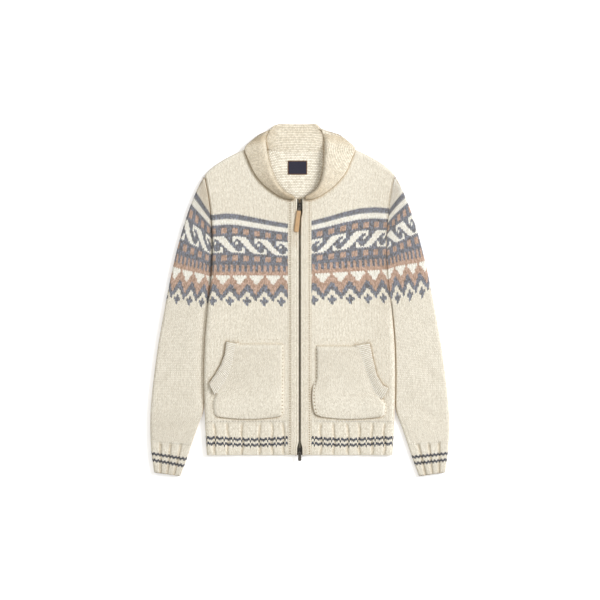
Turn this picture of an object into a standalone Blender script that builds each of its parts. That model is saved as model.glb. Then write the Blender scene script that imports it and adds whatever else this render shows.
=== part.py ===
"""A chunky shawl-collar zip cardigan in jacquard knit, laid out flat on its back.

Metres, +Z up. +X is to the right of someone who looks down at the front, +Y runs from the hem
to the collar, and the underside rests on Z = 0. The origin is the middle of the footprint.
In the names, left and right are those of that viewer. "Out" is the distance from the zip's line.
"""

import math

import bpy
import numpy as np
from mathutils import Vector

# Driving sizes of the cloth
WALL = 0.0045          # thickness of the knit
SEAM = 0.0003          # clearance between two pieces that are sewn together
HEM_Y = -0.3495        # lower edge of the hem rib
RIB_Y = -0.2720        # where the hem rib meets the panels
UNDERARM_Y = -0.0120   # where the side seam meets the sleeve
CENTRE_TOP = 0.0104    # top face of the fronts near the zip
SIDE_TOP = 0.0152      # top face on the rolled side edges
SIDE_MID = 0.0078      # height of the side seam, at the fold
SIDE_RADIUS = 0.0105   # how far the side fold reaches in
SIDE_FADE = 0.080      # how far in from the edge the side roll dies out
SHOULDER_MID = 0.0054  # height of the shoulder seam
SHOULDER_RADIUS = 0.0070
ARMHOLE_RADIUS = 0.0045
ARMHOLE_DIP = 0.0020   # how deep a panel dips into the armhole seam

# Front bands and zip
BAND_IN = 0.0052       # the band's edge beside the zip
BAND_OUT = 0.0262      # the band's edge beside the front panel
BAND_TOP = 0.0126
BAND_OUT_TOP = 0.0112
BAND_END_Y = 0.2290
TAPE_LOW, TAPE_HIGH = 0.0063, 0.0071
TAPE_IN, TAPE_OUT = 0.0022, 0.0120
TEETH_LOW, TEETH_HIGH = 0.0056, 0.0084
TEETH_IN, TEETH_OUT = 0.0002, 0.0018

# Collar
COLLAR_SEAM = 0.0012   # clearance between the collar and the neckline

# Outline of the body: the height and the half width there
BODY_OUTLINE = (
    # y, half_width
    (-0.3500, 0.2090),
    (-0.3000, 0.2120),
    (-0.2500, 0.2140),
    (-0.2000, 0.2152),
    (-0.1500, 0.2153),
    (-0.0900, 0.2132),
    (-0.0400, 0.2090),
    (-0.0120, 0.2062),
    (0.0400, 0.2000),
    (0.0900, 0.1965),
    (0.1400, 0.1960),
    (0.1900, 0.1995),
    (0.2300, 0.2045),
    (0.2600, 0.2098),
    (0.2830, 0.2150),
)

# Neckline and shoulder of a front panel: distance out and height
FRONT_TOP_EDGE = (
    # out, y
    (0.0262, 0.2305),
    (0.0450, 0.2385),
    (0.0620, 0.2550),
    (0.0760, 0.2810),
    (0.0870, 0.3140),
    (0.0960, 0.3500),
    (0.1060, 0.3480),
    (0.1250, 0.3400),
    (0.1500, 0.3280),
    (0.1700, 0.3175),
    (0.1900, 0.3045),
    (0.2050, 0.2920),
    (0.2150, 0.2805),
)

# The back's neckline is shallow. Beyond the neck point it has the same shoulder
BACK_NECKLINE = (
    # out, y
    (0.0000, 0.3316),
    (0.0450, 0.3330),
    (0.0800, 0.3410),
    (0.0960, 0.3500),
)

# A sleeve's knitted rows, from the shoulder to the rib: where each starts on the inner edge,
# how clear of the body's edge that is, and where it ends on the outer edge
SLEEVE_ROWS = (
    # in_y, clear, out, out_y
    (0.2750, 0.0004, 0.2185, 0.2738),
    (0.2350, 0.0004, 0.2250, 0.2640),
    (0.1950, 0.0004, 0.2330, 0.2460),
    (0.1550, 0.0004, 0.2465, 0.2125),
    (0.1080, 0.0004, 0.2650, 0.1560),
    (0.0520, 0.0004, 0.2830, 0.0870),
    (-0.0120, 0.0004, 0.2998, 0.0060),
    (-0.0500, 0.0005, 0.3085, -0.0420),
    (-0.0950, 0.0005, 0.3175, -0.0920),
    (-0.1450, 0.0005, 0.3250, -0.1440),
    (-0.2000, 0.0005, 0.3320, -0.2010),
    (-0.2450, 0.0020, 0.3362, -0.2480),
    (-0.2900, 0.0190, 0.3370, -0.2860),
    (-0.3250, 0.0330, 0.3362, -0.3160),
)
CUFF_ROWS = (
    (-0.3256, 0.0332, 0.3362, -0.3166),
    (-0.3480, 0.0420, 0.3345, -0.3400),
    (-0.3700, 0.0500, 0.3318, -0.3620),
    (-0.3964, 0.0600, 0.3278, -0.3880),
)
SLIT_ROWS = 7          # rows of SLEEVE_ROWS that stay open at the armhole, the underarm included

SLEEVE_TOP = 0.0132
SLEEVE_OUT_MID, SLEEVE_OUT_RADIUS = 0.0066, 0.0082
SLEEVE_IN_MID, SLEEVE_IN_RADIUS = 0.0056, 0.0062
SLEEVE_IN_TOP = 0.0110

# Ribs of the hem and the cuffs
HEM_GROOVES = (
    # left_out, right_out
    (0.0369, 0.0475),
    (0.0626, 0.0772),
    (0.0911, 0.1082),
    (0.1298, 0.1338),
    (0.1620, 0.1625),
    (0.1915, 0.1900),
)
CUFF_RIBS = 3
RIB_DEPTH, RIB_HALF_GROOVE = 0.0022, 0.0034

# Patch pockets: the bag's slanted edge, and the opening's edge, which the rib trim follows
POCKET_IN, POCKET_LOW = 0.0345, -0.2635
POCKET_PUFF, POCKET_REST = 0.0035, 0.0008
POCKET_EDGE = {
    # side: y, bag_out, trim_out. The trim starts on the third row
    -1: (
        (-0.2635, 0.1950, 0.1950),
        (-0.2300, 0.1985, 0.1985),
        (-0.2100, 0.1915, 0.1972),
        (-0.1980, 0.1815, 0.2000),
        (-0.1840, 0.1712, 0.2035),
        (-0.1660, 0.1615, 0.1906),
        (-0.1430, 0.1537, 0.1772),
        (-0.1200, 0.1497, 0.1692),
        (-0.0960, 0.1452, 0.1655),
    ),
    1: (
        (-0.2635, 0.1950, 0.1950),
        (-0.2330, 0.1962, 0.1962),
        (-0.2200, 0.1850, 0.1960),
        (-0.2080, 0.1712, 0.1980),
        (-0.1960, 0.1658, 0.1992),
        (-0.1900, 0.1634, 0.1870),
        (-0.1680, 0.1551, 0.1738),
        (-0.1340, 0.1433, 0.1658),
        (-0.1000, 0.1325, 0.1580),
    ),
}

# The collar's sections, from its front end to the middle of the back. Each has its edge at the
# neckline (seam), the crest of its roll and the edge of its fall. lean moves the crest towards
# -X on both halves. rise lifts the stand over the fall. turn is the side to which the fall lies
# from the stand: 90 degrees is up, as on the fronts, and -90 is down, as behind the neck
COLLAR_SECTIONS = (
    # seam: out, y, z, crest: out, y, z, fall: out, y, z, roll, lean, turn, rise
    (0.0200, 0.2310, 0.0140, 0.0120, 0.2302, 0.0168, 0.0112, 0.2266, 0.0156, 0.0024, 0.0000, 90, 0),
    (0.0330, 0.2350, 0.0112, 0.0305, 0.2375, 0.0165, 0.0310, 0.2290, 0.0137, 0.0040, 0.0005, 90, 0),
    (0.0460, 0.2410, 0.0086, 0.0430, 0.2470, 0.0160, 0.0515, 0.2385, 0.0135, 0.0048, 0.0012, 90, 0),
    (0.0620, 0.2575, 0.0084, 0.0565, 0.2670, 0.0158, 0.0795, 0.2592, 0.0135, 0.0050, 0.0030, 90, 0),
    (0.0750, 0.2830, 0.0082, 0.0650, 0.2935, 0.0156, 0.1020, 0.2860, 0.0135, 0.0050, 0.0055, 90, 0),
    (0.0855, 0.3160, 0.0080, 0.0700, 0.3215, 0.0152, 0.1165, 0.3180, 0.0135, 0.0050, 0.0080, 86, 0),
    (0.0920, 0.3410, 0.0075, 0.0720, 0.3440, 0.0142, 0.1240, 0.3410, 0.0124, 0.0048, 0.0095, 70, 0),
    (0.0890, 0.3485, 0.0060, 0.0710, 0.3655, 0.0118, 0.1080, 0.3580, 0.0085, 0.0045, 0.0110, 35, 0),
    (0.0780, 0.3440, 0.0040, 0.0600, 0.3810, 0.0084, 0.0840, 0.3740, 0.0048, 0.0036, 0.0090, -20, 0.002),
    (0.0560, 0.3372, 0.0030, 0.0420, 0.3908, 0.0062, 0.0520, 0.3670, 0.0030, 0.0030, 0.0050, -65, 0.003),
    (0.0280, 0.3340, 0.0027, 0.0200, 0.3915, 0.0056, 0.0250, 0.3630, 0.0028, 0.0029, 0.0020, -88, 0.003),
    (0.0000, 0.3332, 0.0027, 0.0000, 0.3915, 0.0056, 0.0000, 0.3620, 0.0028, 0.0029, 0.0000, -90, 0.003),
)

# The largest folds: middle, half length, half width, depth (troughs are negative) and bearing
FOLDS = (
    # x, y, half_length, half_width, depth, degrees
    (0.0980, 0.2350, 0.042, 0.014, -0.0016, 62),
    (-0.1500, 0.2350, 0.045, 0.016, -0.0012, 80),
    (0.1450, 0.0450, 0.060, 0.022, 0.0011, 100),
    (-0.1350, -0.0350, 0.060, 0.020, 0.0012, 70),
    (0.0900, -0.1780, 0.050, 0.016, -0.0020, 118),
    (-0.1250, -0.2050, 0.045, 0.016, -0.0016, 55),
    (0.1500, -0.2300, 0.040, 0.014, 0.0012, 60),
    (-0.2900, -0.0900, 0.050, 0.016, -0.0014, 60),
    (-0.2800, -0.2350, 0.045, 0.014, -0.0012, 35),
    (0.2850, -0.1550, 0.055, 0.016, -0.0014, 110),
    (0.2880, -0.2550, 0.045, 0.013, -0.0013, 140),
)

# Hardware of the two-way zip
SLIDER_WIDTH, SLIDER_LENGTH = 0.0088, 0.0140
SLIDER_TOP_Y, SLIDER_LOW_Y = 0.2120, -0.3400
PLATE_LOW = (0.0048, 0.0058)
PLATE_HIGH = (0.0088, 0.0100)
BAIL_Z = 0.0128        # the axis on which a pull swings
BAIL_RADIUS = 0.0011
BAIL_HALF = 0.0031     # from the slider's middle to each foot of the bail
TAB_LEAN = math.radians(-7.0)   # how far the leather tab is turned from the zip's line
TAB_LENGTH, TAB_WIDTH, TAB_THICK = 0.0475, 0.0105, 0.0026
LOW_TAB_LENGTH, LOW_TAB_WIDTH, LOW_TAB_THICK = 0.0195, 0.0080, 0.0014
PULL_BAR = 0.0007      # half the width of the bar that turns under the bail
PULL_SLOT = (0.0014, 0.0009, 0.0050)   # half width of the slot, and where it begins and ends
LABEL_X, LABEL_Y, LABEL_SIZE = -0.0050, 0.2990, (0.0430, 0.0310, 0.0008)

CREAM = (0.86, 0.80, 0.69)
DARK_METAL = (0.07, 0.07, 0.07)


def column(table, index):
    return np.array([row[index] for row in table], float)


def smooth_value(keys, values, at):
    """Cubic interpolation through a table's points, with slopes from their neighbours."""
    keys, values = np.asarray(keys, float), np.asarray(values, float)
    if keys[0] > keys[-1]:
        keys, values = keys[::-1], values[::-1]
    at = min(max(at, keys[0]), keys[-1])
    i = int(min(max(np.searchsorted(keys, at) - 1, 0), len(keys) - 2))
    steps = np.diff(values) / np.diff(keys)
    slopes = np.concatenate([[steps[0]], (steps[:-1] + steps[1:]) / 2, [steps[-1]]])
    width = keys[i + 1] - keys[i]
    t = (at - keys[i]) / width
    a, b = values[i], values[i + 1]
    bend = (1 - t) * (slopes[i] * width - (b - a)) + t * ((b - a) - slopes[i + 1] * width)
    return float(a + (b - a) * t + t * (1 - t) * bend)


def ease(low, high, at):
    """0 below low, 1 above high, and a soft step between them."""
    t = min(max((at - low) / (high - low), 0.0), 1.0)
    return t * t * (3 - 2 * t)


def smooth_half_width(y):
    return smooth_value(column(BODY_OUTLINE, 0), column(BODY_OUTLINE, 1), y)


# The panels' rows at the side edge. Every piece that meets this edge follows the same polygon
PANEL_ROWS = 15
PANEL_LOW = RIB_Y + SEAM
PANEL_HIGH = FRONT_TOP_EDGE[-1][1] - SHOULDER_RADIUS
EDGE_LEVELS = [HEM_Y, RIB_Y] + list(np.linspace(PANEL_LOW, PANEL_HIGH, PANEL_ROWS + 1)) + [0.2830]
EDGE_WIDTHS = [smooth_half_width(y) for y in EDGE_LEVELS]


def half_width(y):
    return float(np.interp(y, EDGE_LEVELS, EDGE_WIDTHS))


def front_top_edge(out):
    return float(np.interp(out, column(FRONT_TOP_EDGE, 0), column(FRONT_TOP_EDGE, 1)))


def back_top_edge(out):
    if out < BACK_NECKLINE[-1][0]:
        return float(np.interp(out, column(BACK_NECKLINE, 0), column(BACK_NECKLINE, 1)))
    return front_top_edge(out)


def folds(x, y):
    """How far the largest folds lift the cloth's top at a place."""
    lift = 0.0
    for fx, fy, half_length, half_wide, depth, degrees in FOLDS:
        c, s = math.cos(math.radians(degrees)), math.sin(math.radians(degrees))
        along = ((x - fx) * c + (y - fy) * s) / half_length
        across = (-(x - fx) * s + (y - fy) * c) / half_wide
        lift += depth * math.exp(-along * along * 1.5 - across * across * 1.5)
    return lift


def body_side(y):
    """1 on the free sides of the body and 0 along the armholes."""
    return 1.0 - ease(UNDERARM_Y - 0.045, UNDERARM_Y + 0.035, y)


def side_reach(y):
    """How far in the edge's fold reaches at a height."""
    return ARMHOLE_RADIUS + (SIDE_RADIUS - ARMHOLE_RADIUS) * body_side(y)


def front_top(x, y):
    """Top face of the fronts, before their edges turn down."""
    inward = half_width(y) - abs(x)
    roll = 1.0 - ease(SIDE_RADIUS, SIDE_FADE, inward)
    tall = (SIDE_TOP - CENTRE_TOP) * (0.35 + 0.65 * body_side(y))
    neck = ease(0.19, 0.25, y) * (1 - ease(0.13, 0.17, abs(x)))
    top = CENTRE_TOP + tall * roll * (1 - neck) + folds(x, y) * (1 - neck)
    return max(top, 2 * WALL + 0.0004)


def shoulder_rim(out):
    """1 along the shoulder seam and 0 along the neckline."""
    return ease(0.094, 0.104, out)


RIM_ANGLES = (30, 62, 90)


def turned(angle):
    return 1 - math.cos(math.radians(angle))


def panel_grid(side, table, top_edge, surface, wall):
    """Points of one face of a panel. Its columns end at the top edge's points, which table
    holds, and both edges get points where the cloth turns. wall moves the face in."""
    ends = [row[0] for row in table if row[0] < 0.206]
    first_out = ends[0] + (SEAM if ends[0] > 0 else 0.0)
    across = [((end - ends[0]) / (ends[-1] - ends[0]), 0.0) for end in ends]
    across += [(1.0, float(a)) for a in RIM_ANGLES]
    upward = [(j / PANEL_ROWS, 0.0) for j in range(PANEL_ROWS + 1)]
    upward += [(1.0, float(a)) for a in RIM_ANGLES]

    def place(share, angle, y):
        reach = side_reach(y)
        inner = half_width(y) - reach
        if angle:
            return inner + (reach - wall * body_side(y)) * math.sin(math.radians(angle))
        return first_out + (inner - first_out) * share

    grid = []
    for share_up, angle_up in upward:
        line = []
        for share, angle in across:
            end = ends[0] + (ends[-1] - ends[0]) * share
            if angle:
                end = place(share, angle, PANEL_HIGH)
            y_top, rim = top_edge(end), shoulder_rim(end)
            reach = SHOULDER_RADIUS * (0.12 + 0.88 * rim)
            if angle_up:
                y = y_top - reach + (reach - wall * rim) * math.sin(math.radians(angle_up))
            else:
                y = PANEL_LOW + (y_top - reach - PANEL_LOW) * share_up
            line.append(surface(side * place(share, angle, y), y, angle, angle_up, wall))
        grid.append(line)
    return grid


def front_surface(x, y, angle, angle_up, wall):
    side = body_side(y)
    inner = half_width(y) - side_reach(y)
    level = front_top(math.copysign(min(abs(x), inner), x), y) - wall
    rim = shoulder_rim(abs(x))
    soft = 0.0 if wall else 1.0
    down = (level - SIDE_MID) * side + ARMHOLE_DIP * (1 - side) * soft
    down_up = (level - SHOULDER_MID) * rim + 0.0012 * (1 - rim) * soft
    return (x, y, level - max(down * turned(angle), down_up * turned(angle_up)))


def back_surface(x, y, angle, angle_up, wall):
    rise = (SIDE_MID - SEAM - wall) * body_side(y)
    rise_up = (SHOULDER_MID - SEAM - wall) * shoulder_rim(abs(x))
    return (x, y, wall + max(rise * turned(angle), rise_up * turned(angle_up)))


def material(name, colour, roughness, metallic=0.0):
    found = bpy.data.materials.get(name)
    if found:
        return found
    made = bpy.data.materials.new(name)
    made.use_nodes = True
    shader = made.node_tree.nodes["Principled BSDF"]
    shader.inputs["Base Color"].default_value = (*colour, 1.0)
    shader.inputs["Roughness"].default_value = roughness
    shader.inputs["Metallic"].default_value = metallic
    return made


def new_object(name, points, faces, finish, collection, smooth=True):
    mesh = bpy.data.meshes.new(name)
    mesh.from_pydata([tuple(p) for p in points], [], faces)
    mesh.validate()
    if smooth:
        mesh.shade_smooth()
    mesh.materials.append(finish)
    obj = bpy.data.objects.new(name, mesh)
    collection.objects.link(obj)
    return obj


def grid_faces(rows, columns, ring_from=None):
    """Quads of a grid. From row ring_from on, the last column is the first one again."""
    def index(j, i):
        if ring_from is not None and i == columns - 1 and j >= ring_from:
            i = 0
        return j * columns + i

    return [[index(j, i), index(j, i + 1), index(j + 1, i + 1), index(j + 1, i)]
            for j in range(rows - 1) for i in range(columns - 1)]


def remove_loose(points, faces):
    used = sorted({i for f in faces for i in f})
    renumber = {old: new for new, old in enumerate(used)}
    return [points[i] for i in used], [[renumber[i] for i in f] for f in faces]


def cloth(name, outer, inner, finish, collection, flip=False, ring_from=None):
    """A wall given by both of its faces, as grids of points, and closed round its edges."""
    rows, columns = len(outer), len(outer[0])
    count = rows * columns
    points = [p for grid in (outer, inner) for line in grid for p in line]
    faces = grid_faces(rows, columns, ring_from)
    if flip:
        faces = [f[::-1] for f in faces]
    edges = {(f[k], f[(k + 1) % 4]) for f in faces for k in range(4)}
    rim = [[b, a, a + count, b + count] for a, b in edges if (b, a) not in edges]
    faces = faces + [[i + count for i in f[::-1]] for f in faces] + sorted(rim)
    points, faces = remove_loose(points, faces)
    return new_object(name, points, faces, finish, collection)


def side_name(side):
    return "left" if side < 0 else "right"


def make_fronts(collection, finish):
    for side in (-1, 1):
        outer, inner = (panel_grid(side, FRONT_TOP_EDGE, front_top_edge, front_surface, wall)
                        for wall in (0.0, WALL))
        cloth("front_" + side_name(side), outer, inner, finish, collection, flip=side < 0)


def make_back(collection, finish):
    table = BACK_NECKLINE + FRONT_TOP_EDGE[6:]
    faces = []
    for wall in (0.0, WALL):
        left, right = (panel_grid(side, table, back_top_edge, back_surface, wall)
                       for side in (-1, 1))
        faces.append([a[:0:-1] + b for a, b in zip(left, right)])
    cloth("back", *faces, finish, collection, flip=True)


def rib_groove(distance_to_groove):
    """How deep a rib's groove is at a distance from its middle."""
    return RIB_DEPTH * math.exp(-(distance_to_groove / RIB_HALF_GROOVE) ** 2)


def hem_places(grooves):
    """Distances out at which the hem's outer points lie: on the ribs and in their grooves."""
    places = [BAND_OUT + SEAM]
    for k, groove in enumerate(grooves):
        places += [groove - 0.0055, groove - 0.0020, groove + 0.0020, groove + 0.0055]
        if k + 1 < len(grooves):
            places.append((groove + grooves[k + 1]) / 2)
    return places


def hem_groove(out, grooves):
    return rib_groove(min(abs(out - groove) for groove in grooves))


def make_hem(collection, finish):
    levels = (HEM_Y, HEM_Y + 0.0025, -0.3250, -0.2980, RIB_Y)
    for side in (-1, 1):
        grooves = column(HEM_GROOVES, 0 if side < 0 else 1)
        outer, inner = [], []
        for k, y in enumerate(levels):
            reach, edge = side_reach(y), half_width(y)
            line, line_in = [], []
            for out in hem_places(grooves):
                z = front_top(side * out, y)
                groove = hem_groove(out, grooves) * (0.35 if k == 0 else 1.0)
                line.append((side * out, y, z - groove - 0.0012 * (k == 0)))
                line_in.append((side * out, y, z - WALL))
            level = front_top(side * (edge - reach), y)
            for angle in (0, *RIM_ANGLES):
                turn = math.radians(angle)
                line.append((side * (edge - reach + reach * math.sin(turn)), y,
                             SIDE_MID + (level - SIDE_MID) * math.cos(turn)))
                line_in.append((side * (edge - reach + (reach - WALL) * math.sin(turn)), y,
                                SIDE_MID + (level - WALL - SIDE_MID) * math.cos(turn)))
            outer.append(line)
            inner.append(line_in)
        cloth("hem_front_" + side_name(side), outer, inner, finish, collection, flip=side < 0)
    faces = []
    for wall in (0.0, WALL):
        grid = []
        for y in (HEM_Y, -0.3100, RIB_Y):
            reach, edge = side_reach(y), half_width(y)
            line = [(out, y, wall) for out in np.linspace(0, edge - reach, 6)]
            line += [(edge - reach + (reach - wall) * math.sin(math.radians(a)), y,
                      wall + (SIDE_MID - SEAM - wall) * turned(a)) for a in RIM_ANGLES]
            grid.append([(-x, y0, z) for x, y0, z in line[:0:-1]] + line)
        faces.append(grid)
    cloth("hem_back", *faces, finish, collection, flip=True)


def sleeve_row(table, share):
    """Ends of the sleeve's row at a share of the way down its table."""
    keys = np.linspace(0, 1, len(table))
    in_y, clear, out, out_y = (smooth_value(keys, column(table, k), share) for k in range(4))
    return (half_width(max(in_y, HEM_Y)) + clear, in_y), (out, out_y)


SLEEVE_ACROSS = 7
SLEEVE_UNDER = 4


def sleeve_section(side, start, end, opened, ribs=0, wall=0.0):
    """One row round a sleeve, from its inner edge over the top to the outer fold and back under
    it. wall moves it in by the cloth's thickness, for the inner face of a ribbed cuff."""
    start, end = Vector(start), Vector(end)
    width = (end - start).length
    heading = (end - start).normalized()
    reach_out = min(SLEEVE_OUT_RADIUS, 0.45 * width)
    reach_in = min(SLEEVE_IN_RADIUS, 0.45 * width)
    slim = ease(0.0, 0.05, width)
    top = SLEEVE_IN_TOP + (SLEEVE_TOP - SLEEVE_IN_TOP) * slim

    def crown(along):
        """Top face over the middle of the row: low at the body, tall towards the outer fold."""
        lift = ease(0.0, 0.5, along / width)
        place = start + heading * along
        return SLEEVE_IN_TOP + (top - SLEEVE_IN_TOP) * lift + folds(side * place.x, place.y)

    profile = []
    inner_top = crown(reach_in)
    for angle in (90, 62, 30):
        turn = math.radians(angle)
        if opened:
            dip = 0.0 if wall else ARMHOLE_DIP * turned(angle)
            profile.append((reach_in * (1 - math.sin(turn)), inner_top - wall - dip))
        else:
            profile.append((reach_in - (reach_in - wall) * math.sin(turn), SLEEVE_IN_MID
                            + (inner_top - wall - SLEEVE_IN_MID) * math.cos(turn)))
    steps = SLEEVE_ACROSS * 3 if ribs else SLEEVE_ACROSS
    for i in range(steps + 1):
        along = reach_in + (width - reach_in - reach_out) * i / steps
        groove = 0.0
        if ribs and not wall:
            pitch = width / (ribs + 1)
            nearest = min(max(round(along / pitch), 1), ribs) * pitch
            groove = rib_groove(along - nearest)
        profile.append((along, crown(along) - wall - groove))
    outer_top = crown(width - reach_out)
    for angle in (30, 62, 90, 118, 150, 180):
        turn = math.radians(angle)
        along = width - reach_out + (reach_out - wall) * math.sin(turn)
        deep = (outer_top - SLEEVE_OUT_MID if angle <= 90 else SLEEVE_OUT_MID) - wall
        profile.append((along, SLEEVE_OUT_MID + deep * math.cos(turn)))
    for i in range(1, SLEEVE_UNDER + 1):
        along = width - reach_out - (width - reach_in - reach_out) * i / SLEEVE_UNDER
        profile.append((along, wall))
    for angle in (30, 62, 90):
        turn = math.radians(angle)
        if opened:
            profile.append((reach_in * (1 - math.sin(turn)), wall))
        else:
            profile.append((reach_in - (reach_in - wall) * math.sin(turn),
                            SLEEVE_IN_MID - (SLEEVE_IN_MID - wall) * math.cos(turn)))
    return [(side * (start + heading * along).x, (start + heading * along).y, z)
            for along, z in profile]


def make_sleeves(collection, finish):
    last = len(SLEEVE_ROWS) - 1
    slit = (SLIT_ROWS - 1) / last
    shares = [slit * k / 10 for k in range(10)]
    shares += [slit + (1 - slit) * k / 11 for k in range(12)]
    for side in (-1, 1):
        outer, inner = ([sleeve_section(side, *sleeve_row(SLEEVE_ROWS, share),
                                        share < slit - 1e-6, 0, wall) for share in shares]
                        for wall in (0.0, WALL))
        cloth("sleeve_" + side_name(side), outer, inner, finish, collection,
              flip=side > 0, ring_from=10)
        outer, inner = ([sleeve_section(side, *sleeve_row(CUFF_ROWS, share), False, CUFF_RIBS,
                                        wall) for share in (0.0, 0.33, 0.7, 0.96, 1.0)]
                        for wall in (0.0, WALL))
        cloth("cuff_" + side_name(side), outer, inner, finish, collection,
              flip=side > 0, ring_from=0)


def make_bands(collection, finish):
    """The folded front bands, rounded beside the zip, from the hem to the neck."""
    section = (
        # out, top
        (BAND_IN, BAND_TOP - 0.0022),
        (BAND_IN + 0.0009, BAND_TOP - 0.0006),
        (BAND_IN + 0.0030, BAND_TOP),
        (0.0160, BAND_TOP - 0.0003),
        (BAND_OUT - 0.0040, BAND_OUT_TOP),
        (BAND_OUT - 0.0008, BAND_OUT_TOP - 0.0010),
        (BAND_OUT, BAND_OUT_TOP - 0.0022),
    )
    levels = (HEM_Y, HEM_Y + 0.002, -0.2000, -0.0500, 0.1000, 0.2000, BAND_END_Y - 0.002, BAND_END_Y)
    for side in (-1, 1):
        outer = [[(side * out, y, top - 0.001 * (y in (HEM_Y, BAND_END_Y)))
                  for out, top in section] for y in levels]
        inner = [[(side * out, y, max(TAPE_HIGH + SEAM, BAND_TOP - WALL)
                   if out < 0.018 else BAND_OUT_TOP - WALL) for out, top in section]
                 for y in levels]
        cloth("band_" + side_name(side), outer, inner, finish, collection, flip=side < 0)


def box(name, low, high, finish, collection, bevel=0.0):
    """A block between two corners, with rounded edges where bevel is given."""
    bpy.ops.mesh.primitive_cube_add(size=1.0)
    obj = bpy.context.object
    obj.name = name
    low, high = Vector(low), Vector(high)
    obj.location = (low + high) / 2
    obj.scale = high - low
    bpy.ops.object.transform_apply(location=False, rotation=False, scale=True)
    for old in list(obj.users_collection):
        old.objects.unlink(obj)
    collection.objects.link(obj)
    obj.data.materials.append(finish)
    if bevel:
        rounded = obj.modifiers.new("rounded", "BEVEL")
        rounded.width = bevel
        rounded.segments = 2
    return obj


def make_zip(collection, tape, metal):
    tape_low, tape_high = HEM_Y + 0.001, BAND_END_Y - 0.001
    teeth_low = SLIDER_LOW_Y + SLIDER_LENGTH / 2 + SEAM
    teeth_high = SLIDER_TOP_Y - SLIDER_LENGTH / 2 - SEAM
    for side in (-1, 1):
        ends = sorted((side * TAPE_IN, side * TAPE_OUT))
        box("zip_tape_" + side_name(side), (ends[0], tape_low, TAPE_LOW),
            (ends[1], tape_high, TAPE_HIGH), tape, collection)
        ends = sorted((side * TEETH_IN, side * TEETH_OUT))
        box("zip_teeth_" + side_name(side), (ends[0], teeth_low, TEETH_LOW),
            (ends[1], teeth_high, TEETH_HIGH), metal, collection)


def joined(target, others, operation="UNION"):
    """Applies Booleans of other objects to target, and removes those objects."""
    for other in others:
        boolean = target.modifiers.new("join", "BOOLEAN")
        boolean.operation = operation
        boolean.object = other
        bpy.context.view_layer.update()
        graph = bpy.context.evaluated_depsgraph_get()
        mesh = bpy.data.meshes.new_from_object(target.evaluated_get(graph))
        target.modifiers.clear()
        target.data = mesh
        bpy.data.objects.remove(other)
    return target


def make_slider(name, y, nose, metal, collection):
    """A zip slider: two plates joined by a bridge, with a bail whose arch holds the pull. nose is
    +1 where the slider's blunt end points to the collar and -1 where it points to the hem."""
    half, length = SLIDER_WIDTH / 2, SLIDER_LENGTH / 2
    lower = box(name, (-half, y - length, PLATE_LOW[0]), (half, y + length, PLATE_LOW[1]),
                metal, collection)
    upper = box(name + "_upper", (-half, y - length, PLATE_HIGH[0]),
                (half, y + length, PLATE_HIGH[1]), metal, collection)
    bridge = box(name + "_bridge", (-0.0016, y - length * 0.8, PLATE_LOW[0] + 0.0002),
                 (0.0016, y + length * 0.8, PLATE_HIGH[1] - 0.0002), metal, collection)
    bail_y = y + nose * 0.0020
    arch = bpy.data.curves.new(name + "_bail", "CURVE")
    arch.dimensions = "3D"
    arch.bevel_depth = 0.0007
    arch.bevel_resolution = 2
    arch.use_fill_caps = True
    spline = arch.splines.new("POLY")
    rise = BAIL_Z + BAIL_RADIUS + 0.0009
    path = ((-1.0, 0.0), (-0.85, 0.72), (-0.45, 1.0), (0.45, 1.0), (0.85, 0.72), (1.0, 0.0))
    spline.points.add(len(path) - 1)
    base = PLATE_HIGH[1] - 0.0006
    for point, (along, up) in zip(spline.points, path):
        point.co = (0.0, bail_y + along * BAIL_HALF, base + up * (rise - base), 1.0)
    bail = bpy.data.objects.new(name + "_bail", arch)
    collection.objects.link(bail)
    return joined(lower, [upper, bridge, as_mesh(bail, collection)])


def as_mesh(curve_object, collection):
    """A curve turned into a closed mesh object."""
    import bmesh
    bpy.context.view_layer.update()
    graph = bpy.context.evaluated_depsgraph_get()
    mesh = bpy.data.meshes.new_from_object(curve_object.evaluated_get(graph))
    work = bmesh.new()
    work.from_mesh(mesh)
    bmesh.ops.remove_doubles(work, verts=work.verts, dist=1e-6)
    bmesh.ops.recalc_face_normals(work, faces=work.faces)
    work.to_mesh(mesh)
    work.free()
    name, matrix = curve_object.name, curve_object.matrix_world.copy()
    bpy.data.objects.remove(curve_object)
    obj = bpy.data.objects.new(name, mesh)
    obj.matrix_world = matrix
    collection.objects.link(obj)
    return obj


def outline_plate(name, outline, thickness, finish, collection, hole=None):
    """A flat plate from a 2D outline in its own XY plane, as thick as asked, about Z = 0."""
    flat = bpy.data.curves.new(name, "CURVE")
    flat.dimensions = "2D"
    flat.fill_mode = "BOTH"
    flat.extrude = thickness / 2
    for points in (outline, hole):
        if points is None:
            continue
        spline = flat.splines.new("POLY")
        spline.points.add(len(points) - 1)
        for point, (x, y) in zip(spline.points, points):
            point.co = (x, y, 0.0, 1.0)
        spline.use_cyclic_u = True
    obj = bpy.data.objects.new(name, flat)
    collection.objects.link(obj)
    made = as_mesh(obj, collection)
    made.data.materials.clear()
    made.data.materials.append(finish)
    return made


def tab_outline(length, width, top, round_share, steps=6):
    """A pull tab that hangs from y = top down to -length, with a rounded lower end."""
    half = width / 2
    corner = half * round_share
    points = [(-half * 0.8, top), (half * 0.8, top)]
    for centre_x, start in ((half - corner, 0.0), (-half + corner, -90.0)):
        for k in range(steps + 1):
            turn = math.radians(start - 90.0 * k / steps)
            points.append((centre_x + corner * math.cos(turn),
                           -length + corner + corner * math.sin(turn)))
    return points


def slot_outline(half, begin, end, corner=0.0004):
    """The slot through which a bail passes, with its corners cut."""
    return [(half, -begin - corner), (half - corner, -begin), (corner - half, -begin),
            (-half, -begin - corner), (-half, corner - end), (corner - half, -end),
            (half - corner, -end), (half, corner - end)]


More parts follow.
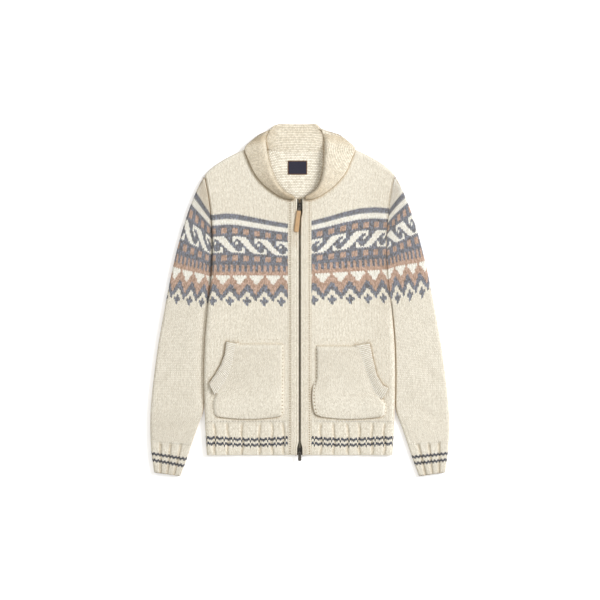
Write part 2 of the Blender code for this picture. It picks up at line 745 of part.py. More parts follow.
def make_pulls(collection, leather, metal):
    """The leather tab on a metal link at the top, and the small metal tab at the hem."""
    pivot = Vector((0.0, SLIDER_TOP_Y + 0.0020, BAIL_Z))
    link = outline_plate("pull_link_top", tab_outline(0.0125, 0.0060, PULL_BAR, 0.9), 0.0012,
                         metal, collection, slot_outline(*PULL_SLOT))
    tab = outline_plate("pull_tab_top", tab_outline(TAB_LENGTH, TAB_WIDTH, 0.0, 0.45), TAB_THICK,
                        leather, collection)
    for obj, drop, rise in ((link, 0.0, 0.0), (tab, 0.0130, 0.0016)):
        obj.rotation_euler = (0.0, 0.0, TAB_LEAN)
        away = Vector((math.sin(TAB_LEAN), -math.cos(TAB_LEAN), 0.0)) * drop
        obj.location = pivot + away + Vector((0.0, 0.0, rise))
    low = outline_plate("pull_tab_bottom", tab_outline(LOW_TAB_LENGTH, LOW_TAB_WIDTH, PULL_BAR, 0.7),
                        LOW_TAB_THICK, metal, collection, slot_outline(*PULL_SLOT))
    low.location = (0.0, SLIDER_LOW_Y - 0.0020, BAIL_Z)


def pocket_height(x, y):
    """Top face of a pocket bag over the front it lies on, fuller in its lower half."""
    out = abs(x)
    edge = min((out - POCKET_IN) / 0.045, (0.199 - out) / 0.045,
               (y - POCKET_LOW) / 0.035, (-0.093 - y) / 0.06, 1.0)
    full = ease(0.0, 1.0, max(edge, 0.0))
    return front_top(x, y) + POCKET_REST + WALL + POCKET_PUFF * full


def pocket_bag_out(side, y):
    edge = POCKET_EDGE[side]
    return float(np.interp(y, column(edge, 0), column(edge, 1)))


def make_pockets(collection, finish):
    shares = (0.0, 0.012, 0.04, 0.2, 0.4, 0.6, 0.8, 0.96, 0.988, 1.0)
    for side in (-1, 1):
        heights = [row[0] for row in POCKET_EDGE[side]]
        top_y = heights[-1]
        levels = [POCKET_LOW, POCKET_LOW + 0.0015, POCKET_LOW + 0.005, *heights[1:-1],
                  top_y - 0.004, top_y]
        top = len(levels) - 1
        outer, inner = [], []
        for j, y in enumerate(levels):
            corner = 0.012 if j == 0 else (0.005 if j == 1 else 0.0)
            first, last = POCKET_IN + corner, pocket_bag_out(side, y) - corner
            line, line_in = [], []
            for i, share in enumerate(shares):
                x = side * (first + (last - first) * share)
                drop = max(0.0022 * (i in (0, 9)) + 0.0006 * (i in (1, 8)),
                           0.0022 * (j in (0, top)) + 0.0006 * (j in (1, top - 1)))
                line.append((x, y, pocket_height(x, y) - drop))
                line_in.append((x, y, pocket_height(x, y) - WALL))
            outer.append(line)
            inner.append(line_in)
        cloth("pocket_" + side_name(side), outer, inner, finish, collection, flip=side < 0)
        make_pocket_trim(side, collection, finish)


def make_pocket_trim(side, collection, finish):
    """The rib that edges a pocket's slanted opening, side by side with the bag."""
    rows = POCKET_EDGE[side][2:]
    outer, inner = [], []
    for j, (y, bag_out, edge) in enumerate(rows):
        bag = bag_out + 2 * SEAM
        line, line_in = [], []
        for i, share in enumerate((0.0, 0.08, 0.5, 0.9, 1.0)):
            x = side * (bag + (edge - bag) * share)
            drop = 0.0018 if i in (0, 4) or j in (0, len(rows) - 1) else 0.0
            z = front_top(x, y) + POCKET_REST + WALL + 0.0012
            line.append((x, y, z - drop))
            line_in.append((x, y, z - WALL))
        outer.append(line)
        inner.append(line_in)
    cloth("pocket_trim_" + side_name(side), outer, inner, finish, collection,
                 flip=side < 0)


def clear_of_neckline(place):
    """Moves a place to the collar's clearance from the neckline's polygon, inside the opening."""
    front = [(0.0, BAND_END_Y)] + list(FRONT_TOP_EDGE[:6])
    best = None
    for line in (front, [(-0.02, 0.3316)] + list(BACK_NECKLINE)):
        for a, b in zip(line, line[1:]):
            a, b = Vector(a), Vector(b)
            t = min(max((place - a).dot(b - a) / (b - a).length_squared, 0.0), 1.0)
            foot, along = a.lerp(b, t), (b - a).normalized()
            if best is None or (place - foot).length < (place - best[0]).length:
                best = (foot, Vector((-along.y, along.x)))
    return best[0] + best[1] * COLLAR_SEAM


def collar_section(side, share):
    """Middle line of the collar's wall: up the stand, round the roll and down the fall."""
    keys = np.linspace(0, 1, len(COLLAR_SECTIONS))
    row = [smooth_value(keys, column(COLLAR_SECTIONS, k), share) for k in range(13)]
    lean = row[10]
    edge = clear_of_neckline(Vector(row[:2]))
    seam = Vector((side * edge.x, edge.y, row[2]))
    crest = Vector((side * row[3] - lean, row[4], row[5]))
    fall = Vector((side * row[6], row[7], row[8]))
    roll, turn = row[9], math.radians(row[11])
    away = (fall - crest)
    away.z = 0.0
    away.normalize()
    over = away * math.cos(turn) + Vector((0.0, 0.0, math.sin(turn)))
    low, high = crest - over * roll, crest + over * roll
    inward = away * -roll * 0.9
    return [
        seam,
        seam.lerp(low, 0.4) + Vector((0.0, 0.0, row[12])),
        low + inward * 0.1,
        low + over * roll * 0.35 + inward * 0.75,
        crest + inward,
        high - over * roll * 0.35 + inward * 0.75,
        high + inward * 0.1,
        high.lerp(fall, 0.35) + over * 0.0006,
        high.lerp(fall, 0.72) + over * 0.0003,
        fall,
    ]


def make_collar(collection, finish):
    steps = 17
    left = [collar_section(-1, k / steps) for k in range(steps)]
    right = [collar_section(1, k / steps) for k in range(steps + 1)]
    grid = left + right[::-1]
    points = [p for line in grid for p in line]
    obj = new_object("collar", points, grid_faces(len(grid), len(grid[0])), finish, collection)
    solidify = obj.modifiers.new("wall", "SOLIDIFY")
    solidify.thickness = WALL
    solidify.offset = 0.0


def make_label(collection, finish):
    half_x, half_y, thick = LABEL_SIZE[0] / 2, LABEL_SIZE[1] / 2, LABEL_SIZE[2]
    low = WALL + SEAM
    box("neck_label", (LABEL_X - half_x, LABEL_Y - half_y, low),
        (LABEL_X + half_x, LABEL_Y + half_y, low + thick), finish, collection)


def clear_scene():
    for obj in list(bpy.data.objects):
        bpy.data.objects.remove(obj, do_unlink=True)


def main():
    clear_scene()
    collection = bpy.data.collections.new("jacquard_cardigan")
    bpy.context.scene.collection.children.link(collection)
    knit = material("jacquard_knit", CREAM, 0.95)
    rib = material("rib_knit", CREAM, 0.95)
    tape = material("zip_tape", (0.80, 0.76, 0.66), 0.8)
    metal = material("dark_metal", DARK_METAL, 0.35, 1.0)
    leather = material("tan_leather", (0.62, 0.43, 0.27), 0.55)
    woven = material("woven_label", (0.05, 0.05, 0.09), 0.7)
    make_back(collection, knit)
    make_fronts(collection, knit)
    make_sleeves(collection, knit)
    make_hem(collection, rib)
    make_bands(collection, rib)
    make_zip(collection, tape, metal)
    make_slider("slider_top", SLIDER_TOP_Y, 1, metal, collection)
    make_slider("slider_bottom", SLIDER_LOW_Y, -1, metal, collection)
    make_pulls(collection, leather, metal)
    make_pockets(collection, knit)
    make_collar(collection, rib)
    make_label(collection, woven)


main()
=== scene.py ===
# %% [markdown]
# # A shawl-collar cardigan in jacquard knit
#
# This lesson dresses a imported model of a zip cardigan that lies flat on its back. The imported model
# has plain, solid pieces at their real size. Here each cloth piece becomes a thin shell of real
# knitted stitches on the same form, and the zip gets its teeth, sliders and pulls.
#
# Everything is in metres. +Y runs from the hem to the collar, +X is to the viewer's right, and
# left and right are the viewer's. "Out" is a distance from the zip's line.

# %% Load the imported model
import math

import bpy
import numpy as np
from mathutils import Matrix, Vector


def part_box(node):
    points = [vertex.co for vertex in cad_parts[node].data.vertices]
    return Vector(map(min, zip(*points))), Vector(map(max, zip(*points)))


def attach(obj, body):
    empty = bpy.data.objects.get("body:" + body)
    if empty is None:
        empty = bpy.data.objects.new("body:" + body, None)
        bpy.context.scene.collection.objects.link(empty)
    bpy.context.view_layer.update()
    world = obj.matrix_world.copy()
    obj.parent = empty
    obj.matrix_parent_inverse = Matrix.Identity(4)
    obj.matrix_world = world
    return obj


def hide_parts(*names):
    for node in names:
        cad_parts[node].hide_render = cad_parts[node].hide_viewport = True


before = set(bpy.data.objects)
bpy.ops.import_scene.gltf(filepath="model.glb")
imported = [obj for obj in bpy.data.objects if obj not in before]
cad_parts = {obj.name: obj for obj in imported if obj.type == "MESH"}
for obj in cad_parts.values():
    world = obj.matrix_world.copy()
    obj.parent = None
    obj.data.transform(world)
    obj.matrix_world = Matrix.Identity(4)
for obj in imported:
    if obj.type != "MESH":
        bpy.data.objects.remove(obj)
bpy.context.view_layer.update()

# %% [markdown]
# ## The camera, the light and the floor
#
# The garment was photographed from straight above, so the camera looks straight down. One pixel
# shows 2.25 mm, and a long lens keeps the garment's edges from leaning. A softbox to the right of
# the collar leaves soft shades on the left of each form. A weak second one and an even, slightly
# warm sky fill them. The floor is white paper that also glows a little, so it stays white.

# %% Camera
METRES_PER_PIXEL = 0.00225
PICTURE_PIXELS = 600
LENS, SENSOR = 80.0, 36.0
EYE_X, EYE_Y = 0.0007, 0.0005
CLOTH_TOP = 0.012
camera_data = bpy.data.cameras.new("overhead")
camera_data.lens = LENS
camera_data.sensor_width = SENSOR
overhead = bpy.data.objects.new("overhead", camera_data)
distance = PICTURE_PIXELS * METRES_PER_PIXEL * LENS / SENSOR
overhead.location = (EYE_X, EYE_Y, distance + CLOTH_TOP)
bpy.context.scene.collection.objects.link(overhead)
bpy.context.scene.camera = overhead
print("the camera is", round(distance, 2), "m above the cloth")


# %% Light
SKY_COLOUR, SKY_STRENGTH = (1.0, 0.985, 0.95, 1.0), 0.72


def softbox(name, place, size, power, colour):
    """A square lamp that faces the garment's middle."""
    lamp = bpy.data.lights.new(name, "AREA")
    lamp.size = size
    lamp.energy = power
    lamp.color = colour
    made = bpy.data.objects.new(name, lamp)
    made.location = place
    made.rotation_euler = (-Vector(place)).to_track_quat("-Z", "Y").to_euler()
    bpy.context.scene.collection.objects.link(made)


softbox("key_light", (2.6, 1.1, 2.4), 1.3, 121.0, (0.98, 0.99, 1.03))
softbox("fill_light", (-1.6, -0.9, 2.2), 2.0, 9.0, (1.0, 0.98, 0.95))
sky = bpy.data.worlds.new("studio")
sky.use_nodes = True
sky.node_tree.nodes["Background"].inputs["Color"].default_value = SKY_COLOUR
sky.node_tree.nodes["Background"].inputs["Strength"].default_value = SKY_STRENGTH
bpy.context.scene.world = sky
bpy.context.scene.view_settings.view_transform = "Standard"
print("the light is two softboxes and the sky")


# %% Floor
def new_material(name, **sockets):
    """A material with some of its shader's sockets set. A _ stands for a space in their names."""
    made = bpy.data.materials.new(name)
    made.use_nodes = True
    shader = made.node_tree.nodes["Principled BSDF"]
    for socket, value in sockets.items():
        shader.inputs[socket.replace("_", " ")].default_value = value
    return made, made.node_tree, shader


FLOOR_EDGE, FLOOR_Z = 4.0, -0.0004
paper = new_material("white_paper", Base_Color=(0.93, 0.93, 0.93, 1.0), Roughness=0.9,
                     Specular_IOR_Level=0.1, Emission_Color=(1.0, 1.0, 1.0, 1.0),
                     Emission_Strength=0.22)[0]
floor_mesh = bpy.data.meshes.new("floor")
floor_mesh.from_pydata([(x * FLOOR_EDGE, y * FLOOR_EDGE, FLOOR_Z)
                        for x, y in ((-1, -1), (1, -1), (1, 1), (-1, 1))], [], [(0, 1, 2, 3)])
floor = bpy.data.objects.new("floor", floor_mesh)
bpy.context.scene.collection.objects.link(floor)
floor_mesh.materials.append(paper)
print("the floor is", 2 * FLOOR_EDGE, "m wide")

# %% [markdown]
# ## The garment's own sizes
#
# A knitted panel is shaped by its outline and by how its edges fold over. The imported model was
# made from these tables, and the stitches have to lie on the same form, so the tables are the same
# here. What a node's box can tell, such as the hem's height, is read from the imported model.

# %% Sizes from the imported model
WALL = 0.0045          # thickness of the knit
HEM_Y, RIB_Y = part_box("hem_front_right")[0].y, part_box("hem_front_right")[1].y
BAND_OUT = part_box("band_right")[1].x
BAND_END_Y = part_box("band_right")[1].y
SIDE_MID, SHOULDER_MID = 0.0078, 0.0054      # height of the fold at the sides and shoulders
SIDE_RADIUS, SIDE_FADE = 0.0105, 0.080
ARMHOLE_RADIUS, ARMHOLE_DIP = 0.0045, {-1: 0.0045, 1: 0.0008}
SHOULDER_RADIUS = 0.0070
CENTRE_TOP, SIDE_TOP = 0.0104, 0.0152        # height of the fronts by the zip and by the sides
UNDERARM_Y = -0.0120
print("the rib is", round(1000 * (RIB_Y - HEM_Y), 1), "mm high")

# %% Outline tables
BODY_OUTLINE = np.array((
    # y, half_width
    (-0.3500, 0.2090), (-0.3000, 0.2120), (-0.2500, 0.2140), (-0.2000, 0.2152),
    (-0.1500, 0.2153), (-0.0900, 0.2132), (-0.0400, 0.2090), (-0.0120, 0.2062),
    (0.0400, 0.2000), (0.0900, 0.1965), (0.1400, 0.1960), (0.1900, 0.1995),
    (0.2300, 0.2045), (0.2600, 0.2098), (0.2830, 0.2150)))
FRONT_TOP_EDGE = np.array((
    # out, y
    (0.0262, 0.2305), (0.0450, 0.2385), (0.0620, 0.2550), (0.0760, 0.2810),
    (0.0870, 0.3140), (0.0960, 0.3500), (0.1060, 0.3480), (0.1250, 0.3400),
    (0.1500, 0.3280), (0.1700, 0.3175), (0.1900, 0.3045), (0.2050, 0.2920),
    (0.2150, 0.2805)))
BACK_NECKLINE = np.array((
    # out, y
    (0.0000, 0.3316), (0.0450, 0.3330), (0.0800, 0.3410), (0.0960, 0.3500)))
SLEEVE_ROWS = np.array((
    # in_y, clear, out, out_y
    (0.2750, 0.0004, 0.2185, 0.2738), (0.2350, 0.0004, 0.2250, 0.2640),
    (0.1950, 0.0004, 0.2330, 0.2460), (0.1550, 0.0004, 0.2465, 0.2125),
    (0.1080, 0.0004, 0.2650, 0.1560), (0.0520, 0.0004, 0.2830, 0.0870),
    (-0.0120, 0.0004, 0.2998, 0.0060), (-0.0500, 0.0005, 0.3085, -0.0420),
    (-0.0950, 0.0005, 0.3175, -0.0920), (-0.1450, 0.0005, 0.3250, -0.1440),
    (-0.2000, 0.0005, 0.3320, -0.2010), (-0.2450, 0.0020, 0.3362, -0.2480),
    (-0.2900, 0.0190, 0.3370, -0.2860), (-0.3250, 0.0330, 0.3362, -0.3160)))
CUFF_ROWS = np.array((
    # in_y, clear, out, out_y
    (-0.3256, 0.0332, 0.3362, -0.3166), (-0.3480, 0.0420, 0.3345, -0.3400),
    (-0.3700, 0.0500, 0.3318, -0.3620), (-0.3964, 0.0600, 0.3278, -0.3880)))
HEM_GROOVES = {-1: (0.0369, 0.0626, 0.0911, 0.1298, 0.1620, 0.1915),
               1: (0.0475, 0.0772, 0.1082, 0.1338, 0.1625, 0.1900)}
POCKET_IN, POCKET_LOW = 0.0345, -0.2635
POCKET_EDGE = {
    # side: y, bag_out, trim_out
    -1: np.array((
        (-0.2635, 0.1950, 0.1950), (-0.2300, 0.1985, 0.1985), (-0.2100, 0.1915, 0.1972),
        (-0.1980, 0.1815, 0.2000), (-0.1840, 0.1712, 0.2035), (-0.1660, 0.1615, 0.1906),
        (-0.1430, 0.1537, 0.1772), (-0.1200, 0.1497, 0.1692), (-0.0960, 0.1452, 0.1655))),
    1: np.array((
        (-0.2635, 0.1950, 0.1950), (-0.2330, 0.1962, 0.1962), (-0.2200, 0.1850, 0.1960),
        (-0.2080, 0.1712, 0.1980), (-0.1960, 0.1658, 0.1992), (-0.1900, 0.1634, 0.1870),
        (-0.1680, 0.1551, 0.1738), (-0.1340, 0.1433, 0.1658), (-0.1000, 0.1325, 0.1580))),
}

print(len(BODY_OUTLINE), "places outline the body, and", len(SLEEVE_ROWS), "a sleeve")

# %% [markdown]
# The cloth doesn't lie dead flat. These soft troughs and ridges are listed one by one: the long
# ones are the model's own, and the small ones sit where arms, pockets and rolled sides pull.

# %% Creases
CREASES = (
    # x, y, half_length, half_width, depth, degrees
    (0.0980, 0.2350, 0.042, 0.014, -0.0016, 62), (-0.1500, 0.2350, 0.045, 0.016, -0.0012, 80),
    (0.1450, 0.0450, 0.060, 0.022, 0.0011, 100), (-0.1350, -0.0350, 0.060, 0.020, 0.0012, 70),
    (0.0900, -0.1780, 0.050, 0.016, -0.0020, 118), (-0.1250, -0.2050, 0.045, 0.016, -0.0016, 55),
    (0.1500, -0.2300, 0.040, 0.014, 0.0012, 60), (-0.2900, -0.0900, 0.050, 0.016, -0.0014, 60),
    (-0.2800, -0.2350, 0.045, 0.014, -0.0012, 35), (0.2850, -0.1550, 0.055, 0.016, -0.0014, 110),
    (0.2880, -0.2550, 0.045, 0.013, -0.0013, 140),
    (-0.1720, 0.0050, 0.035, 0.009, -0.0008, 35), (0.1700, -0.0150, 0.032, 0.009, -0.0008, 142),
    (-0.1820, -0.0750, 0.040, 0.010, 0.0007, 82), (0.1850, -0.0900, 0.036, 0.009, -0.0007, 97),
    (-0.0850, 0.1250, 0.050, 0.013, 0.0006, 96), (0.0750, 0.0250, 0.045, 0.012, -0.0006, 84),
    (-0.2520, 0.0450, 0.040, 0.010, -0.0010, 68), (0.2550, 0.0300, 0.042, 0.011, 0.0009, 110),
    (-0.2650, -0.0150, 0.034, 0.009, 0.0008, 48), (0.2700, -0.0450, 0.038, 0.009, -0.0010, 128),
    (-0.2550, -0.1600, 0.042, 0.010, -0.0008, 75), (0.2560, -0.1950, 0.036, 0.010, 0.0008, 100),
    (-0.3000, -0.1900, 0.036, 0.009, 0.0008, 64), (0.3020, -0.2150, 0.032, 0.008, -0.0008, 118),
    (-0.2950, -0.2900, 0.024, 0.008, -0.0009, 30), (0.2900, -0.3000, 0.024, 0.008, 0.0008, 150),
    (0.2375, -0.2870, 0.050, 0.0045, -0.0016, 109), (0.2620, -0.3620, 0.034, 0.004, -0.0012, 107),
    (-0.0430, 0.2260, 0.020, 0.0030, -0.0008, 158), (0.0900, 0.2420, 0.030, 0.006, -0.0007, 70),
)

print(len(CREASES), "creases")

# %% Curves and soft steps
def smooth_curve(keys, values, at):
    """Cubic interpolation through a table's points, with slopes from their neighbours."""
    keys, values = np.asarray(keys, float), np.asarray(values, float)
    if keys[0] > keys[-1]:
        keys, values = keys[::-1], values[::-1]
    at = np.clip(at, keys[0], keys[-1])
    i = np.clip(np.searchsorted(keys, at) - 1, 0, len(keys) - 2)
    steps = np.diff(values) / np.diff(keys)
    slopes = np.concatenate([[steps[0]], (steps[:-1] + steps[1:]) / 2, [steps[-1]]])
    width = keys[i + 1] - keys[i]
    t = (at - keys[i]) / width
    a, b = values[i], values[i + 1]
    bend = (1 - t) * (slopes[i] * width - (b - a)) + t * ((b - a) - slopes[i + 1] * width)
    return a + (b - a) * t + t * (1 - t) * bend


def ease(low, high, at):
    """0 below low, 1 above high, and a soft step between them."""
    t = np.clip((at - low) / (high - low), 0.0, 1.0)
    return t * t * (3 - 2 * t)


print("a soft step:", [round(float(ease(0, 1, t)), 2) for t in (0.0, 0.25, 0.5, 0.75, 1.0)])

# %% Edges of the body
def half_width(y):
    return smooth_curve(BODY_OUTLINE[:, 0], BODY_OUTLINE[:, 1], y)


def front_top_edge(out):
    return np.interp(out, FRONT_TOP_EDGE[:, 0], FRONT_TOP_EDGE[:, 1])


def back_top_edge(out):
    near = np.interp(out, BACK_NECKLINE[:, 0], BACK_NECKLINE[:, 1])
    return np.where(out < BACK_NECKLINE[-1, 0], near, front_top_edge(out))


print("half the body at the underarm:", round(1000 * float(half_width(UNDERARM_Y))), "mm")

# %% Height of the fronts
def creases(x, y):
    """How far the creases lift the cloth's top at a place."""
    lift = np.zeros(np.broadcast(x, y).shape)
    for cx, cy, half_length, half_wide, depth, degrees in CREASES:
        c, s = math.cos(math.radians(degrees)), math.sin(math.radians(degrees))
        along = ((x - cx) * c + (y - cy) * s) / half_length
        across = (-(x - cx) * s + (y - cy) * c) / half_wide
        lift += depth * np.exp(-along * along * 1.5 - across * across * 1.5)
    return lift


def body_side(y):
    """1 on the free sides of the body and 0 along the armholes."""
    return 1.0 - ease(UNDERARM_Y - 0.045, UNDERARM_Y + 0.035, y)


def side_reach(y):
    """How far in the edge's fold reaches at a height."""
    return ARMHOLE_RADIUS + (SIDE_RADIUS - ARMHOLE_RADIUS) * body_side(y)


def front_top(x, y):
    """Top face of the fronts, before their edges turn down."""
    inward = half_width(y) - abs(x)
    roll = 1.0 - ease(SIDE_RADIUS, SIDE_FADE, inward)
    tall = (SIDE_TOP - CENTRE_TOP) * (0.35 + 0.65 * body_side(y))
    neck = ease(0.19, 0.25, y) * (1 - ease(0.13, 0.17, abs(x)))
    top = CENTRE_TOP + tall * roll * (1 - neck) + creases(x, y) * (1 - neck)
    return np.maximum(top, 2 * WALL + 0.0004)


print("the fronts are at least", round(1000 * (2 * WALL + 0.0004), 1), "mm high")

# %% [markdown]
# ## Yarn colours and the charted yoke
#
# Jacquard knit carries several yarns along a row, and each stitch shows one of them. A knitter
# works from a chart, so this is one: bands of rows from the top of the yoke to its bottom, with
# the small repeats written as letters. c is cream, w off-white, g heather grey, t tan and s slate.
# d is a cream stitch that is pulled in, such as an eyelet along a seam, painted darker tan as the
# shade in its hollow. r is cream painted darker, a painted shade between fine ribs and along seams.

# %% Yarns
LETTERS = "cwgtsdr"
YARNS = (
    # red, green, blue, heather
    (236, 230, 214, 0.0),
    (243, 241, 231, 0.0),
    (126, 128, 135, 1.0),
    (192, 163, 144, 0.6),
    (72, 75, 85, 0.7),
    # d: cream painted darker tan, the painted shade in a pulled-in stitch's hollow
    (186, 168, 138, 0.0),
    # r: cream painted darker, the painted shade between fine ribs and along seams
    (219, 209, 188, 0.0),
)


def linear(value):
    """A screen colour's value, 0 to 255, as the linear value that shaders use."""
    value = value / 255
    return value / 12.92 if value <= 0.04045 else ((value + 0.055) / 1.055) ** 2.4


PALETTE = np.array([[linear(v) for v in row[:3]] + [row[3]] for row in YARNS])
CREAM, SHADED_DIMPLE = LETTERS.index("c"), LETTERS.index("d")

# %% The chart
SCROLL = """
##########......
###########.....
##...#######....
##....#######...
..##...######...
..##....######..
.........######.
..........######
#......##..#####
##.....##...####
###...###....###
#########......#
""".split()
PEAKS = """
twwwwwwwwwwt
twwwwwwwwwwt
ttwwwwwwwwtt
tttwwwwwwttt
ttttwwwwtttt
ttttwwwwtttt
tttttwwttttt
gttttttttttg
ggttttttttgg
ggttttttttgg
gggttttttggg
ggggttttgggg
ggggttttgggg
cggggttggggc
ccgggttgggcc
ccggggggggcc
cccggggggccc
gcccggggcccg
gccccggccccg
gggccggccggg
gggccccccggg
ggccccccccgg
gccccccccccg
gccccccccccg
cccccccccccc
""".split()
YOKE = (
    # repeat, rows
    ("g", 4), ("w", 4), ("g", 3), ("ttttgggg", 4), ("g", 2), ("scroll", 12), ("g", 2),
    ("ttttgggg", 4), ("g", 3), ("ttgg", 5), ("t", 3), ("peaks", 25))
TOOTHED_ROWS = (0, 4, 8)        # rows where every other stitch keeps the colour above
CHART_ROWS = sum(rows for repeat, rows in YOKE)
STRIPE_ROW = 43
TIP_ROW = 70
print("the yoke's chart has", CHART_ROWS, "rows")


def yoke_chart(count, peaks_at, scroll_at, dots_at, ticks_at, scroll_way=-1):
    """Yarn numbers of the yoke, a row for each knitted row and a column for each stitch."""
    chart = []
    i = np.arange(count)
    for repeat, rows in YOKE:
        for k in range(rows):
            if repeat == "scroll":
                marks = np.array([mark == "#" for mark in SCROLL[k]])
                line = np.where(marks[(scroll_at + scroll_way * i) % 16], "w", "g")
            elif repeat == "peaks":
                line = np.array(list(PEAKS[k]))[(i + peaks_at) % 12]
            else:
                start = dots_at if len(repeat) == 8 else ticks_at
                line = np.array(list(repeat))[(i + start) % len(repeat)]
            chart.append([LETTERS.index(letter) for letter in line])
    chart = np.array(chart)
    for row in TOOTHED_ROWS:
        chart[row, 1::2] = chart[row - 1, 1::2] if row else CREAM
    return chart


# %% [markdown]
# ## One stitch, many times
#
# A stocking stitch shows as a V: two legs of yarn that lean towards each other. If the rows of a
# grid are bent into a zigzag, each half stitch becomes a leaning cell, and one raised point in its
# middle makes a plump leg from four triangles. The real thing could be modelled as a curve for
# each yarn, but at some sixty thousand stitches that is far too heavy. On faces that lie on the
# table the cells stay flat and only the material gives relief.
#
# The back of the fabric shows bumps in a brick pattern, which a second function makes.

# %% How a stitch is drawn
LEAN = 0.5             # how far a stitch's legs lean, in rows
UNEVEN = 0.45          # how much longer every other stitch is, in rows
RELIEF = 0.17          # how far a leg stands above the cloth's face, in widths of its stitch
SUNK = 0.4             # how far its edges lie under that face, as a share of the same
DIMPLE_DEPTH = 0.0009
PRESSED, FREE = 0.0015, 0.0045    # heights at which stitches are flat, and at which they're full
LOWEST_SKIRT = 0.0003             # a turned-in border doesn't reach below this height


def face_normals(base, sign):
    """Unit normals of a grid of points."""
    normal = np.cross(np.gradient(base, axis=0), np.gradient(base, axis=1)) * sign
    size = np.linalg.norm(normal, axis=-1, keepdims=True)
    up = np.zeros_like(normal)
    up[..., 2] = 1.0
    return np.where(size > 1e-12, normal / np.maximum(size, 1e-12), up)


def skirt_of(ids, points, normal, uv, depth, name):
    """A strip that turns a border in by the cloth's thickness."""
    line = {"T": np.s_[0, :], "B": np.s_[-1, :], "L": np.s_[:, 0], "R": np.s_[:, -1]}[name]
    low = points[line] - normal[line] * depth
    low[:, 2] = np.maximum(low[:, 2], np.minimum(points[line][:, 2], LOWEST_SKIRT))
    return ids[line], low, uv[line]


def finish_patch(ids, corner, normal, uv, tris, tint, points, uvs, skirt, sign, depth):
    """Adds the turned-in borders to a patch, and puts its arrays together."""
    count = sum(len(p) for p in points)
    for name in skirt:
        rim, low, low_uv = skirt_of(ids, corner, normal, uv, depth, name)
        new = np.arange(count, count + len(rim))
        count += len(rim)
        points.append(low)
        uvs.append(low_uv)
        a, b, c, d = rim[:-1], rim[1:], new[1:], new[:-1]
        if (name in "TL") == (sign > 0) if name in "TB" else (name == "L") != (sign > 0):
            strip = np.concatenate([np.stack([a, b, c], 1), np.stack([a, c, d], 1)])
        else:
            strip = np.concatenate([np.stack([c, b, a], 1), np.stack([d, c, a], 1)])
        tris.append(strip)
        tint.append(np.full(len(strip), CREAM))
    return {"points": np.concatenate(points), "tris": np.concatenate(tris),
            "uv": np.concatenate(uvs), "tint": np.concatenate(tint)}


# a swatch of four by four stitches, to try each function on
swatch = np.stack([*np.meshgrid(np.arange(9) * 0.0015, np.arange(5) * -0.0026),
                   np.full((5, 9), FREE)], axis=-1)
print("a level swatch faces", face_normals(swatch, 1)[0, 0])

# %% Stitches
def stitches(base, codes, sign=1, keep=None, skirt="", flat=False, depth=WALL):
    """Stocking stitches on a grid that has a point at every row and at every half stitch."""
    rows, halves = base.shape[0] - 1, base.shape[1] - 1
    relief = RELIEF * np.median(np.linalg.norm(base[:, 2:] - base[:, :-2], axis=-1))
    if np.isscalar(codes):
        codes = np.full((rows, halves // 2), codes)
    wale = np.arange(halves + 1)
    lean = np.where(wale % 2 == 0, -LEAN, LEAN + UNEVEN * (1 - wale // 2 % 2 * 2))
    v = np.clip(np.arange(rows + 1)[:, None] + lean[None, :], 0, rows)
    low = np.clip(np.floor(v).astype(int), 0, rows - 1)
    part = (v - low)[..., None]
    columns = np.broadcast_to(np.arange(halves + 1), v.shape)
    normal = face_normals(base, sign)
    corner = base[low, columns] * (1 - part) + base[low + 1, columns] * part
    full = ease(PRESSED, FREE, corner[..., 2:])
    if not flat:
        corner = corner - normal * relief * SUNK * full
    uv = np.stack([columns / 2, v], axis=-1)
    ids = np.arange(v.size).reshape(v.shape)
    a, b, c, d = ids[:-1, :-1], ids[:-1, 1:], ids[1:, 1:], ids[1:, :-1]
    shown = np.ones(a.shape, bool) if keep is None else keep
    leg_codes = np.repeat(codes, 2, axis=1)[shown]
    a, b, c, d = a[shown], b[shown], c[shown], d[shown]
    points, uvs = [corner.reshape(-1, 3)], [uv.reshape(-1, 2)]
    if flat:
        loops = [(a, d, c), (a, c, b)]
    else:
        e = np.arange(len(a)) + v.size
        lift = np.where(leg_codes == SHADED_DIMPLE, -DIMPLE_DEPTH, relief)[:, None]
        flat_points, flat_normal = points[0], normal.reshape(-1, 3)
        middle = (flat_points[a] + flat_points[b] + flat_points[c] + flat_points[d]) / 4
        leg_normal = (flat_normal[a] + flat_normal[c]) / 2
        points.append(middle + leg_normal * lift * full.reshape(-1, 1)[a])
        uvs.append((uvs[0][a] + uvs[0][b] + uvs[0][c] + uvs[0][d]) / 4)
        loops = [(b, a, e), (c, b, e), (d, c, e), (a, d, e)]
    if sign < 0:
        loops = [loop[::-1] for loop in loops]
    tris = [np.stack(loop, axis=1) for loop in loops]
    tint = [leg_codes] * len(loops)
    return finish_patch(ids, corner, normal, uv, tris, tint, points, uvs, skirt, sign, depth)


print("the swatch takes", len(stitches(swatch, CREAM)["tris"]), "triangles in stitches")

